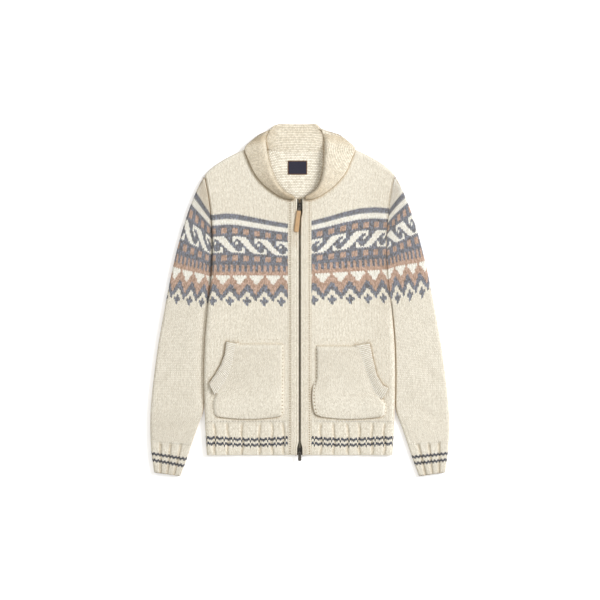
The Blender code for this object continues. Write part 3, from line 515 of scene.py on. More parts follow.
# %% Purl bumps
def bumps(base, relief, closed=False):
    """The fabric's purl side: rows of bumps laid like bricks, on the same kind of grid."""
    rows, halves = base.shape[0] - 1, base.shape[1] - 1
    normal = face_normals(base, 1)
    if closed:
        joint = normal[0] + normal[-1]
        normal[0] = normal[-1] = joint / np.linalg.norm(joint, axis=-1, keepdims=True)
    corner = base - normal * relief * SUNK
    columns, v = np.meshgrid(np.arange(halves + 1), np.arange(rows + 1))
    uv = np.stack([columns / 2, v], axis=-1).astype(float)
    ids = np.arange(v.size).reshape(v.shape)
    points, uvs = [corner.reshape(-1, 3)], [uv.reshape(-1, 2)]
    tris = []
    count = v.size
    for r in range(rows):
        starts = np.arange(r % 2, halves - 1, 2)
        ring = [ids[r, starts], ids[r, starts + 1], ids[r, starts + 2],
                ids[r + 1, starts + 2], ids[r + 1, starts + 1], ids[r + 1, starts]]
        middle = (points[0][ring[0]] + points[0][ring[2]] + points[0][ring[3]]
                  + points[0][ring[5]]) / 4
        points.append(middle + normal[r, starts + 1] * relief)
        uvs.append(np.stack([starts / 2 + 0.5, np.full(len(starts), r + 0.5)], axis=-1))
        e = np.arange(count, count + len(starts))
        count += len(starts)
        for k in range(6):
            tris.append(np.stack([ring[(k + 1) % 6], ring[k], e], axis=1))
        if r % 2:
            for k in (0, halves - 1):
                quad = [ids[r + 1, k], ids[r + 1, k + 1], ids[r, k + 1], ids[r, k]]
                tris.append(np.array([quad[:3], [quad[0], quad[2], quad[3]]]))
    tris = np.concatenate(tris)
    return {"points": np.concatenate(points), "tris": tris, "tint": np.full(len(tris), CREAM),
            "uv": np.concatenate(uvs)}


print("its purl side takes", len(bumps(swatch, relief=0.0006)["tris"]))

# %% A coarse patch
def plain(base, stitch_count, row_count):
    """A coarse patch that faces the table, with its stitches counted in the UV map."""
    rows, columns = base.shape[0], base.shape[1]
    u, v = np.meshgrid(np.linspace(0, stitch_count, columns), np.linspace(0, row_count, rows))
    ids = np.arange(rows * columns).reshape(rows, columns)
    a, b, c, d = ids[:-1, :-1], ids[:-1, 1:], ids[1:, 1:], ids[1:, :-1]
    tris = np.concatenate([np.stack([x.ravel() for x in loop], axis=1)
                           for loop in ((c, d, a), (b, c, a))])
    return {"points": base.reshape(-1, 3), "tris": tris, "tint": np.full(len(tris), CREAM),
            "uv": np.stack([u.ravel(), v.ravel()], axis=1)}


print("and a coarse patch of its size", len(plain(swatch[::2, ::4], 4, 4)["tris"]))

# %% [markdown]
# ## Sewing patches into a piece
#
# A piece is one or more patches whose shared edges are welded. Each corner gets a place in the
# "Stitches" map, which counts stitches and rows for the material, and one in "OFBake", which only
# has to be free of overlaps. The yarn's colour sits on each corner, so it changes from stitch to
# stitch with a sharp edge, as in real jacquard. The flat size of a piece is measured along the
# grid that it was knitted on, which is how a cutter would lay a tape on the panel.

# %% The flat size of a grid
def cut_of(base):
    """Width, length and area of the flat cloth that a grid of points stands for."""
    across = np.linalg.norm(np.diff(base, axis=1), axis=-1).sum(axis=1)
    down = np.linalg.norm(np.diff(base, axis=0), axis=-1).sum(axis=0)
    right, below = np.diff(base, axis=1)[:-1], np.diff(base, axis=0)[:, :-1]
    area = np.linalg.norm(np.cross(right, below), axis=-1).sum()
    return np.array([across.max(), down.max(), area])


print("the swatch measures", np.round(1000 * cut_of(swatch)[:2], 1), "mm")

# %% Sew
triangle_counts = {}
BAKE_MARGIN = 0.004
WELD = 1e-6            # points closer than this are one


def sew(name, patches, finish):
    """Welds patches into one piece that rides on the cardigan's body."""
    points, tris, uvs, bakes, tints = [], [], [], [], []
    start = 0
    for n, patch in enumerate(patches):
        uv = patch["uv"]
        spread = np.maximum(uv.max(axis=0) - uv.min(axis=0), 1e-9)
        place = (uv - uv.min(axis=0)) / spread * (1 - 2 * BAKE_MARGIN) + BAKE_MARGIN
        place[:, 0] = (place[:, 0] + n) / len(patches)
        points.append(patch["points"])
        tris.append(patch["tris"] + start)
        uvs.append(uv)
        bakes.append(place)
        tints.append(patch["tint"])
        start += len(patch["points"])
    points, tris = np.concatenate(points), np.concatenate(tris)
    uvs, bakes, tints = np.concatenate(uvs), np.concatenate(bakes), np.concatenate(tints)
    _, first, welded = np.unique(np.round(points / WELD).astype(np.int64), axis=0,
                                 return_index=True, return_inverse=True)
    welded = welded.reshape(-1)[tris]
    whole = ((welded[:, 0] != welded[:, 1]) & (welded[:, 1] != welded[:, 2])
             & (welded[:, 0] != welded[:, 2]))
    tris, welded, tints = tris[whole], welded[whole], tints[whole]
    used, faces = np.unique(welded, return_inverse=True)
    faces = faces.reshape(-1)
    points = points[first][used]
    mesh = bpy.data.meshes.new(name)
    mesh.vertices.add(len(points))
    mesh.vertices.foreach_set("co", points.astype(np.float32).ravel())
    mesh.loops.add(len(faces))
    mesh.loops.foreach_set("vertex_index", faces.astype(np.int32))
    mesh.polygons.add(len(faces) // 3)
    mesh.polygons.foreach_set("loop_start", np.arange(0, len(faces), 3, dtype=np.int32))
    mesh.update(calc_edges=True)
    mesh.shade_smooth()
    for layer, values in (("Stitches", uvs), ("OFBake", bakes)):
        made = mesh.uv_layers.new(name=layer)
        made.data.foreach_set("uv", values[tris.ravel()].astype(np.float32).ravel())
    yarn = mesh.color_attributes.new("yarn", "FLOAT_COLOR", "CORNER")
    yarn.data.foreach_set("color", np.repeat(PALETTE[tints], 3, axis=0).astype(np.float32).ravel())
    mesh.materials.append(finish)
    obj = bpy.data.objects.new(name, mesh)
    bpy.context.scene.collection.objects.link(obj)
    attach(obj, "cardigan")
    triangle_counts[name] = len(faces) // 3
    print(f"{name}: {triangle_counts[name]} triangles")
    return obj


# %% Print a piece's cut
def lay(piece, bases, layers=1, stacked=False):
    """Works out and prints a cloth piece's cut. Stacked grids lie one above the other in the same
    panel.
    """
    cuts = np.array([cut_of(base) for base in bases])
    down = cuts[:, 1].sum() if stacked else cuts[:, 1].max()
    width, length = cuts[:, 0].max(), down / layers
    area = cuts[:, 2].sum() / layers
    if area > width * length:
        width = area / length
    print(f"{piece.name}: cut {width:.3f} x {length:.3f} m, {area:.4f} m2")


# %% [markdown]
# ## The yarn's material
#
# Thick wool yarn is matt, with a soft sheen of fibres. The colour is painted darker between two
# stitches, where little light reaches, and darker and browner still where other cloth lies close
# by: both are painted shade. The profile of a leg is worked out from the "Stitches" map: it is
# high along the yarn and falls at its edges. Fine slanted plies cross each leg. Grey and tan yarn
# is heathered, which is noise of two scales weighted by the yarn's own heather value.


# %% Node helpers
def add_node(tree, kind, **settings):
    node = tree.nodes.new("ShaderNode" + kind)
    for key, value in settings.items():
        setattr(node, key, value)
    return node


def maths(tree, operation, *values):
    """A Math node. A value may be a number or another node's socket."""
    node = add_node(tree, "Math", operation=operation)
    for socket, value in zip(node.inputs, values):
        if isinstance(value, (int, float)):
            socket.default_value = value
        else:
            tree.links.new(value, socket)
    return node.outputs[0]


def arch(tree, value):
    """1 in the middle of every unit of a value and 0 at its ends."""
    share = maths(tree, "FRACT", value)
    across = maths(tree, "MULTIPLY_ADD", share, 2.0, -1.0)
    return maths(tree, "SUBTRACT", 1.0, maths(tree, "MULTIPLY", across, across))


def noise(tree, vector, scale, detail=2.0):
    node = add_node(tree, "TexNoise")
    node.inputs["Scale"].default_value = scale
    node.inputs["Detail"].default_value = detail
    tree.links.new(vector, node.inputs["Vector"])
    return node.outputs["Fac"]


# %% Knit material
def knit_material(name, purl=False):
    """Wool yarn knitted as stocking stitch, or with its purl side out."""
    made, tree, shader = new_material(name, Roughness=0.95, Specular_IOR_Level=0.15,
                                      Sheen_Weight=0.3, Sheen_Roughness=0.6,
                                      Sheen_Tint=(1.0, 0.97, 0.9, 1.0))
    count = add_node(tree, "UVMap", uv_map="Stitches")
    split = add_node(tree, "SeparateXYZ")
    tree.links.new(count.outputs["UV"], split.inputs[0])
    u, v = split.outputs["X"], split.outputs["Y"]
    if purl:
        row = maths(tree, "FLOOR", v)
        leg = maths(tree, "ADD", u, maths(tree, "MULTIPLY", maths(tree, "MODULO", row, 2.0), 0.5))
    else:
        tooth = maths(tree, "ABSOLUTE", maths(tree, "SUBTRACT", maths(tree, "FRACT", u), 0.5))
        v = maths(tree, "ADD", v, maths(tree, "MULTIPLY_ADD", tooth, 4 * LEAN, -LEAN))
        other = maths(tree, "MODULO", maths(tree, "FLOOR", u), 2.0)
        longer = maths(tree, "MULTIPLY_ADD", other, 2 * UNEVEN, -UNEVEN)
        near = maths(tree, "MULTIPLY_ADD", tooth, -2.0, 1.0)
        v = maths(tree, "MULTIPLY_ADD", longer, near, v)
        leg = maths(tree, "MULTIPLY", u, 2.0)
    round_across = maths(tree, "POWER", arch(tree, leg), 0.6)
    round_along = maths(tree, "POWER", arch(tree, v), 0.8)
    body = maths(tree, "MULTIPLY", round_across, round_along)
    twist = arch(tree, maths(tree, "MULTIPLY_ADD", v, 3.0, maths(tree, "MULTIPLY", leg, 1.5)))
    place = add_node(tree, "TexCoord").outputs["Object"]
    fibres = noise(tree, place, 1400.0, 3.0)
    height = maths(tree, "MULTIPLY_ADD", twist, 0.16, body)
    height = maths(tree, "MULTIPLY_ADD", fibres, 0.22, height)
    bump = add_node(tree, "Bump")
    bump.inputs["Strength"].default_value = 0.7
    bump.inputs["Distance"].default_value = 0.0010
    tree.links.new(height, bump.inputs["Height"])
    tree.links.new(bump.outputs["Normal"], shader.inputs["Normal"])
    stitch = add_node(tree, "CombineXYZ")
    tree.links.new(maths(tree, "FLOOR", leg), stitch.inputs["X"])
    tree.links.new(maths(tree, "FLOOR", v), stitch.inputs["Y"])
    chance = add_node(tree, "TexWhiteNoise", noise_dimensions="2D")
    tree.links.new(stitch.outputs["Vector"], chance.inputs["Vector"])
    own = maths(tree, "SUBTRACT", chance.outputs["Value"], 0.5)
    yarn = add_node(tree, "VertexColor", layer_name="yarn")
    mottle = maths(tree, "SUBTRACT", noise(tree, place, 420.0, 3.0), 0.5)
    mottle = maths(tree, "MULTIPLY_ADD", mottle, 2.2, maths(tree, "MULTIPLY", own, 1.1))
    patchy = maths(tree, "SUBTRACT", noise(tree, place, 26.0, 2.0), 0.5)
    # Painted shade between stitches where a leg's profile falls, plus the yarn's own random tone and
    # heather
    if purl:
        light = maths(tree, "MULTIPLY_ADD", body, 0.85, 0.43)
    else:
        light = maths(tree, "MULTIPLY_ADD", body, 0.66, 0.575)
    light = maths(tree, "MULTIPLY_ADD", own, 0.25, light)
    light = maths(tree, "MULTIPLY_ADD", maths(tree, "MULTIPLY", yarn.outputs["Alpha"], mottle), 0.55,
                  light)
    light = maths(tree, "MULTIPLY_ADD", patchy, 0.03, light)
    # Painted shade: the colour darkens and turns browner where other cloth lies within 9 mm, in folds,
    # seams and under edges
    painted_shade_occlusion = add_node(tree, "AmbientOcclusion", samples=6)
    painted_shade_occlusion.inputs["Distance"].default_value = 0.009
    shade = maths(tree, "MULTIPLY_ADD", painted_shade_occlusion.outputs["AO"], 0.90, 0.24)
    shade = maths(tree, "MINIMUM", shade, 1.0)
    warm = add_node(tree, "CombineColor")
    for channel, power, shaded in (("Red", 1.0, 0.8), ("Green", 1.12, 1.3), ("Blue", 1.36, 2.1)):
        value = maths(tree, "MULTIPLY", maths(tree, "POWER", light, power),
                      maths(tree, "POWER", shade, shaded))
        tree.links.new(value, warm.inputs[channel])
    # The yarn's colour times the warm painted shade
    tone = add_node(tree, "Mix", data_type="RGBA", blend_type="MULTIPLY")
    tone.inputs["Factor"].default_value = 1.0
    tree.links.new(yarn.outputs["Color"], tone.inputs["A"])
    tree.links.new(warm.outputs["Color"], tone.inputs["B"])
    tree.links.new(tone.outputs["Result"], shader.inputs["Base Color"])
    return made


jersey = knit_material("jacquard_wool")
ribbing = knit_material("ribbed_wool")
purl_side = knit_material("purl_wool", purl=True)
print("materials:", jersey.name, ribbing.name, purl_side.name)

# %% [markdown]
# ## The fronts
#
# A front is knitted in one piece from the rib to the shoulder. Its columns of stitches run with
# the outline, and its rows follow three lines that were measured on the photograph: the top of
# the yoke, its tan stripe and the tips of its last motifs. Rows that would pass the neckline or the
# shoulder are clamped to that edge, and cells that lie wholly above it are left out. The upper,
# inner and side edges roll down, as thick knitwear does where it is sewn.

# %% Rows of a front
FRONT_COLUMNS, ROLL_COLUMNS = 54, 4
ROW_PITCH = 0.00265
FRONT_WIDTH = 0.172                 # what one row spans, for the lines below
SEAM = 0.0003
NARROW_FROM, NARROWING = 0.55, 0.3  # the right front's stitches close up past this share
LAP, LAP_DROP = 0.0012, 0.0008      # a panel's edge lies this far under its neighbour's
ROWS_ABOVE, ROWS_BELOW = 66, 98
YOKE_LINES = {
    # out and height of the yoke's top, then of its stripe, then of its tips
    -1: (((0.0286, 0.1739), (0.0668, 0.1805), (0.1118, 0.1895), (0.1456, 0.1960),
          (0.1681, 0.1971), (0.1951, 0.1940)),
         ((0.0286, 0.0641), (0.1951, 0.0641)),
         ((0.0286, -0.0140), (0.1951, -0.0115))),
    1: (((0.0288, 0.1805), (0.0682, 0.1908), (0.1019, 0.2009), (0.1357, 0.2088),
         (0.1694, 0.2113), (0.2000, 0.2088)),
        ((0.0288, 0.0679), (0.2000, 0.0783)),
        ((0.0288, -0.0104), (0.2000, -0.0059))),
}


def front_rows(side, out):
    """Heights of a front's rows at a distance out, from above the neck down to the rib."""
    top, stripe, tips = (np.interp(out, *np.array(line).T) for line in YOKE_LINES[side])
    numbers = np.arange(-ROWS_ABOVE, TIP_ROW + ROWS_BELOW + 1)
    keys = (-ROWS_ABOVE, 0, STRIPE_ROW, TIP_ROW, TIP_ROW + ROWS_BELOW)
    heights = (top + ROWS_ABOVE * ROW_PITCH, top, stripe, tips, RIB_Y - LAP)
    return np.interp(numbers, keys, heights)


def front_grid(side):
    """Points of a front at every row and half stitch, and the cells that lie on the panel."""
    column = np.arange(2 * (FRONT_COLUMNS + ROLL_COLUMNS) + 1) / 2
    share = np.clip(column / FRONT_COLUMNS, 0, 1)
    if side > 0:
        drawn_in = NARROWING * np.maximum(share - NARROW_FROM, 0) ** 2
        share = (share - drawn_in) / (1 - NARROWING * (1 - NARROW_FROM) ** 2)
    angle = np.clip((column - FRONT_COLUMNS) / ROLL_COLUMNS, 0, 1) * math.pi / 2
    first = BAND_OUT - LAP
    y = np.stack([front_rows(side, first + FRONT_WIDTH * s) for s in share], axis=1)

    def out_at(y):
        inner = half_width(y) - side_reach(y)
        return inner, first + (inner - first) * share + side_reach(y) * np.sin(angle)

    top = front_top_edge(out_at(y)[1])
    over = y > top
    y = np.minimum(y, top)
    inner, out = out_at(y)
    level = front_top(side * np.minimum(out, inner), y)
    rim = ease(0.094, 0.104, out)
    reach = SHOULDER_RADIUS * (0.12 + 0.88 * rim)
    lean_out = np.clip(1 - (top - y) / reach, 0, 1)
    turned_up = 1 - np.sqrt(1 - lean_out ** 2)
    free = body_side(y)
    down = (level - SIDE_MID) * free + ARMHOLE_DIP[side] * (1 - free)
    down_up = (level - SHOULDER_MID) * rim + 0.0012 * (1 - rim)
    z = level - np.maximum(down * (1 - np.cos(angle)), down_up * turned_up)
    z -= LAP_DROP * np.maximum(1 - ease(0, 0.001, out - BAND_OUT), 1 - ease(0, 0.001, y - RIB_Y))
    cells = over[:-1, :-1] & over[:-1, 1:] & over[1:, :-1] & over[1:, 1:]
    return np.stack([side * out, y, z], axis=-1), ~cells


# %% Knit the fronts
FRONT_PHASES = {
    # peaks, scroll, dots, ticks
    -1: (7, 8, 3, 0),
    1: (10, 7, 4, 3),
}
SIDE_NAMES = {-1: "left", 1: "right"}
PICKED_UP_Y = -0.0885    # a row of stitches is picked up here for the pocket
PICKED_UP = range(7, 39, 3)
for side in (-1, 1):
    base, keep = front_grid(side)
    codes = np.full((base.shape[0] - 1, base.shape[1] // 2), CREAM)
    yoke = yoke_chart(codes.shape[1], *FRONT_PHASES[side])
    codes[ROWS_ABOVE:ROWS_ABOVE + CHART_ROWS] = yoke
    # Painted shade: every third stitch of the picked-up row is cream painted darker, a dotted line of
    # shade
    picked_up = abs(base[:-1, 1::2, 1] - PICKED_UP_Y).argmin(axis=0)
    for column in PICKED_UP:
        codes[picked_up[column], column] = LETTERS.index("r")
    name = "front_" + SIDE_NAMES[side]
    panel = sew(name + "_panel", [stitches(base, codes, side, keep=keep, skirt="T")], jersey)
    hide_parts(name)
    lay(panel, [base])

# %% [markdown]
# ## The sleeves
#
# A sleeve is a flattened tube. Each row starts at the body's edge, climbs over the top to the
# rounded outer fold and comes back under. The same section is worked out at some sixty places and
# the stitches are spaced along it by length. The side on the table stays flat. Along the armhole
# the tube is open, since it is sewn to the body there.

# %% Ends of a sleeve's rows
SLEEVE_TOP, SLEEVE_IN_TOP = 0.0132, 0.0110
SLEEVE_OUT_MID, SLEEVE_OUT_RADIUS = 0.0066, 0.0082
SLEEVE_IN_MID, SLEEVE_IN_RADIUS = 0.0056, 0.0062
RIB_DEPTH, RIB_HALF_GROOVE = 0.0036, 0.0031
CUFF_RIBS = 3


def row_ends(table, share):
    """Both ends of a sleeve's row, at a share of the way down its table."""
    keys = np.linspace(0, 1, len(table))
    in_y, clear, out, out_y = (float(smooth_curve(keys, table[:, k], share)) for k in range(4))
    return np.array([float(half_width(max(in_y, HEM_Y))) + clear, in_y]), np.array([out, out_y])


halfway = np.linalg.norm(np.subtract(*row_ends(SLEEVE_ROWS, 0.5)))
print("halfway down, a sleeve is", round(1000 * halfway), "mm wide")

# %% The trough beside the body
TROUGH = {-1: 0.0078, 1: 0.0006}     # the left sleeve sinks beside the body, and the right hardly
EDGE_DIP = {-1: 0.0045, 1: 0.0004}   # and its edge turns down at the seam
TROUGH_WIDTH = 0.0125
LOWEST_EDGE = 0.0012


def trough(side, along, y):
    """How far a sleeve sinks beside the body."""
    beside = ease(-0.27, -0.20, y) * (1 - ease(0.13, 0.23, y))
    return TROUGH[side] * beside * np.exp(-(along / TROUGH_WIDTH) ** 2)


print("beside the body the left sleeve sinks", round(1000 * float(trough(-1, 0.0, 0.0)), 1), "mm")

# %% One row of a sleeve
def sleeve_section(side, table, share, opened, ribs=0, wall=0.0):
    """One row of a sleeve: the line over its top, and the line back under it.

    An opened row has no fold at the body, and a wall gives the row inside the tube.
    """
    start, end = row_ends(table, share)
    width = float(np.linalg.norm(end - start))
    heading = (end - start) / width
    reach_out, reach_in = min(SLEEVE_OUT_RADIUS, 0.2 * width), min(SLEEVE_IN_RADIUS, 0.3 * width)
    top = SLEEVE_IN_TOP + (SLEEVE_TOP - SLEEVE_IN_TOP) * ease(0.0, 0.05, width)

    def crown(along):
        place = start + heading * np.asarray(along)[..., None]
        lift = ease(0.0, 0.5, along / width)
        fold = creases(side * place[..., 0], place[..., 1]) - trough(side, along, place[..., 1])
        return SLEEVE_IN_TOP + (top - SLEEVE_IN_TOP) * lift + fold

    def groove(along):
        pitch = width / (ribs + 1)
        nearest = np.clip(np.round(along / pitch), 1, ribs) * pitch
        return RIB_DEPTH * np.exp(-((along - nearest) / RIB_HALF_GROOVE) ** 2)

    turn = np.radians(np.linspace(90, 0, 8))
    inner_top = float(crown(reach_in))
    if opened:
        dip = EDGE_DIP[side] * (1 - np.cos(turn))
        inner = reach_in * (1 - np.sin(turn)), np.maximum(inner_top - dip, LOWEST_EDGE)
        low_in = reach_in * (1 - np.sin(turn[::-1])), np.zeros(len(turn))
    else:
        sink = (inner_top - wall - SLEEVE_IN_MID) * np.cos(turn)
        inner = reach_in - (reach_in - wall) * np.sin(turn), SLEEVE_IN_MID + sink
        low = (SLEEVE_IN_MID - wall) * np.cos(turn[::-1])
        low_in = reach_in - (reach_in - wall) * np.sin(turn[::-1]), SLEEVE_IN_MID - low
    along = np.linspace(reach_in, width - reach_out, 90 if ribs else 34)[1:-1]
    height = crown(along) - wall
    if ribs and not wall:
        height = height - groove(along)
    outer_top = float(crown(width - reach_out))
    over = np.radians(np.linspace(0, 90, 8))
    out_along = width - reach_out + (reach_out - wall) * np.sin(over)
    outer = out_along, SLEEVE_OUT_MID + (outer_top - wall - SLEEVE_OUT_MID) * np.cos(over)
    outer_low = out_along[::-1], SLEEVE_OUT_MID - (SLEEVE_OUT_MID - wall) * np.cos(over[::-1])
    flat = np.linspace(width - reach_out, reach_in, 12)[1:-1]
    lines = ([inner, (along, height), outer], [outer_low, (flat, np.full(10, wall)), low_in])
    made = []
    for line in lines:
        distance = np.concatenate([part[0] for part in line])
        place = start + heading * distance[:, None]
        z = np.concatenate([part[1] for part in line])
        made.append(np.stack([side * place[:, 0], place[:, 1], z], axis=-1))
    return made


halfway_over, halfway_under = sleeve_section(1, SLEEVE_ROWS, 0.5, False)
print("its top is", round(1000 * halfway_over[:, 2].max(), 1), "mm high there")

# %% Points along a line
def lengths(line):
    """Distance of each point along a line."""
    return np.concatenate([[0.0], np.cumsum(np.linalg.norm(np.diff(line, axis=0), axis=1))])


def points_at(line, at):
    """Places along a line, at distances along it."""
    length = lengths(line)
    return np.stack([np.interp(at, length, line[:, k]) for k in range(3)], axis=-1)


def spaced(line, count):
    """Points evenly spaced along a line, count steps in all."""
    return points_at(line, np.linspace(0, lengths(line)[-1], count + 1))


def rows_at(keys, grids, at):
    """A grid's rows between its key rows. at gives a place for each row and column."""
    grids = np.asarray(grids)
    at = np.broadcast_to(np.reshape(at, (len(at), -1)), (len(at), grids.shape[1]))
    i = np.clip(np.searchsorted(keys, at) - 1, 0, len(keys) - 2)
    part = (at - keys[i]) / (keys[i + 1] - keys[i])
    if grids.ndim == 3:
        part = part[..., None]
    column = np.arange(grids.shape[1])
    return grids[i, column] * (1 - part) + grids[i + 1, column] * part


around = lengths(halfway_over)[-1] + lengths(halfway_under)[-1]
print("and it takes", round(1000 * around), "mm of cloth")

# %% Knit the sleeves
SLEEVE_PITCH = 0.00235
TOP_STITCHES = 50          # columns that are knitted in relief. The rest lie on the table
CAP_ROWS, SLEEVE_ROWS_DOWN = 16, 171
SLEEVE_MARKS = {
    # knitted row, and its place in the table at the armhole and at the outer fold
    -1: np.array(((-16, 0, 0), (0, 2.0, 2.0), (12, 3.05, 3.2), (32, 4.29, 4.42),
                  (44.5, 4.92, 5.07), (70, 6.12, 6.18), (171, 13, 13))),
    1: np.array(((-16, 0, 0), (0, 1.75, 2.1), (12, 2.8, 3.08), (32, 4.0, 4.22),
                 (44.5, 4.64, 4.9), (70, 5.98, 5.95), (171, 13, 13))),
}
SLEEVE_PHASES = {
    # peaks, scroll, dots, ticks, and which way the scroll runs
    -1: (5, 9, 3, 0, -1),
    1: (5, 4, 1, 1, 1),
}
ARMHOLE_STEPS = 6          # rows of the table over which the sleeve is open at the body
last = len(SLEEVE_ROWS) - 1
slit = ARMHOLE_STEPS / last
shares = np.concatenate([np.linspace(0, slit, 28)[:-1], np.linspace(slit, 1, 36)])
for side in (-1, 1):
    lines = [np.concatenate([over, under[1:]]) for over, under in
             (sleeve_section(side, SLEEVE_ROWS, s, s < slit - 1e-6) for s in shares)]
    rounds = np.array([lengths(line)[-1] for line in lines])
    columns = int(rounds.max() / SLEEVE_PITCH) + 1
    distance = np.arange(2 * columns + 1) * SLEEVE_PITCH / 2
    grids = [points_at(line, distance) for line in lines]
    numbers = np.arange(-CAP_ROWS, SLEEVE_ROWS_DOWN + 1)
    marks = SLEEVE_MARKS[side]
    inner, outer = (smooth_curve(marks[:, 0], marks[:, k], numbers)[:, None] / last for k in (1, 2))
    fold = ease(0.0, 0.09, distance)[None, :]
    at = inner * (1 - fold) + outer * fold
    base = rows_at(shares, grids, at)
    beyond = distance[None, :] > np.interp(at, shares, rounds) + 1e-6
    keep = ~(beyond[:-1, :-1] & beyond[:-1, 1:] & beyond[1:, :-1] & beyond[1:, 1:])
    codes = np.full((len(numbers) - 1, columns), CREAM)
    # Painted highlight: the right sleeve's cap is off-white instead of cream, so it reads lighter
    if side > 0:
        codes[:CAP_ROWS] = LETTERS.index("w")      # this cap catches more of the light
    codes[CAP_ROWS:CAP_ROWS + CHART_ROWS] = yoke_chart(columns, *SLEEVE_PHASES[side])
    split = 2 * TOP_STITCHES
    patches = [
        stitches(base[:, :split + 1], codes[:, :TOP_STITCHES], side, keep=keep[:, :split],
                 skirt="TL"),
        stitches(base[:, split:], codes[:, TOP_STITCHES:], side, keep=keep[:, split:], flat=True,
                 skirt="T"),
    ]
    name = "sleeve_" + SIDE_NAMES[side]
    sleeve = sew(name + "_tube", patches, jersey)
    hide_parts(name)
    lay(sleeve, [base])

# %% [markdown]
# ## The cuffs and the hem
#
# Wide ribs pull the cloth in. Deep grooves part them, and two slate stripes of two rows each run
# over ribs and grooves alike. At its end the cloth turns in, so the wrist is an open tube with a
# real thickness.

# %% Knit the cuffs
CUFF_OUTER_ROWS, CUFF_INNER_ROWS = 23, 8
CUFF_STRIPES = (8, 9, 13, 14)
CUFF_TOP, CUFF_UNDER = 42, 38
CUFF_TILT = {-1: 2.2, 1: 0.4}     # how many rows lower the stripes end on the inner side
CUFF_START = 0.994                # share of the sleeve's table where the cuff's first row lies
CUFF_SHARES = np.linspace(0.07, 0.985, 15)
for side in (-1, 1):
    sections = [sleeve_section(side, SLEEVE_ROWS, CUFF_START, False)]
    sections[0][0][:, 2] += SEAM
    sections += [sleeve_section(side, CUFF_ROWS, s, False, CUFF_RIBS)
                 for s in list(CUFF_SHARES) + [1.0]]
    sections += [sleeve_section(side, CUFF_ROWS, s, False, CUFF_RIBS, WALL)
                 for s in (1.0, 0.9, 0.75, 0.65)]
    keys = np.concatenate([[0.0], CUFF_SHARES * CUFF_OUTER_ROWS,
                           CUFF_OUTER_ROWS + np.array([0.0, 1.0, 3.0, 6.0, 8.0])])
    numbers = np.arange(CUFF_OUTER_ROWS + CUFF_INNER_ROWS + 1.0)[:, None]
    wave = np.sin(math.pi * np.clip(numbers / CUFF_OUTER_ROWS, 0, 1))
    patches, bases = [], []
    for k, count in ((0, CUFF_TOP), (1, CUFF_UNDER)):
        lines = [spaced(section[k], 2 * count) for section in sections]
        inner_share = np.linspace(1 - k, k, 2 * count + 1)[None, :]
        base = rows_at(keys, lines, numbers + CUFF_TILT[side] * wave * inner_share)
        codes = np.full((len(numbers) - 1, count), CREAM)
        for row in CUFF_STRIPES:
            for column in range(count):
                codes[row + (column % 4 == 3), column] = LETTERS.index("s")
        patches.append(stitches(base, codes, side, flat=k == 1))
        bases.append(base)
    name = "cuff_" + SIDE_NAMES[side]
    cuff = sew(name + "_rib", patches, ribbing)
    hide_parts(name)
    lay(cuff, [np.concatenate([bases[0], bases[1][:, 1:]], axis=1)])

# %% Knit the hem's fronts
HEM_ROWS, HEM_TURN = 25, 3
HEM_STRIPES = (11, 12, 15, 16)
HEM_SAG = 0.0042       # how far the rib bellies below its edges
HEM_WANDER = 0.0016    # how far a groove strays to the side
HEM_DROP = 0.0016      # how far the lower edge turns down


def hem_grid(side):
    """The hem of one front: wide ribs between grooves, with its lower edge turned in."""
    column = np.arange(2 * (FRONT_COLUMNS + ROLL_COLUMNS) + 1) / 2
    share = np.clip(column / FRONT_COLUMNS, 0, 1)[None, :]
    angle = (np.clip((column - FRONT_COLUMNS) / ROLL_COLUMNS, 0, 1) * math.pi / 2)[None, :]
    down = np.linspace(0, 1, HEM_ROWS + 1)[:, None]
    sag = HEM_SAG * np.sin(math.pi * np.clip(share * 1.1, 0, 1)) * np.sin(math.pi * down)
    y = RIB_Y + (HEM_Y - RIB_Y) * down - sag
    inner = half_width(y) - side_reach(y)
    first = BAND_OUT - LAP
    out = first + (inner - first) * share + side_reach(y) * np.sin(angle)
    level = front_top(side * np.minimum(out, inner), y)
    level -= LAP_DROP * (1 - ease(0, 0.001, out - BAND_OUT))
    grooves = np.zeros_like(out)
    for place in HEM_GROOVES[side]:
        wander = HEM_WANDER * np.sin(9 * down + 40 * place)
        grooves = np.maximum(grooves, np.exp(-((out - place - wander) / RIB_HALF_GROOVE) ** 2))
    grooves *= RIB_DEPTH * ease(-0.02, 0.14, down)
    z = level - grooves - (level - SIDE_MID) * (1 - np.cos(angle))
    z -= HEM_DROP * ease(0.93, 1.0, down)
    outer = np.stack([side * out, y, z], axis=-1)
    turned = []
    for k in range(1, HEM_TURN + 1):
        line = outer[-1].copy()
        line[:, 1] += (k - 1) * 0.003
        line[:, 2] = np.maximum(line[:, 2] - WALL + HEM_DROP, WALL + 0.0005)
        turned.append(line)
    return np.concatenate([outer, np.array(turned)])


for side in (-1, 1):
    base = hem_grid(side)
    codes = np.full((base.shape[0] - 1, base.shape[1] // 2), CREAM)
    for row in HEM_STRIPES:
        for column in range(codes.shape[1]):
            codes[row + (column % 3 == 2), column] = LETTERS.index("s")
    name = "hem_front_" + SIDE_NAMES[side]
    hem = sew(name + "_rib", [stitches(base, codes, side)], ribbing)
    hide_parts(name)
    lay(hem, [base])

# %% [markdown]
# ## The back
#
# The back lies on the table, so it is pressed flat, and its chart repeats the fronts'. Its yoke is
# knitted stitch by stitch, and the plain cloth around it is a coarse patch whose material has the
# same stitches. Inside the neck the purl side shows, so a patch of bumps lies there.

# %% Knit the back
BACK_COLUMNS = 2 * (FRONT_COLUMNS + 9)
BACK_PHASES = (4, 9, 1, 2)


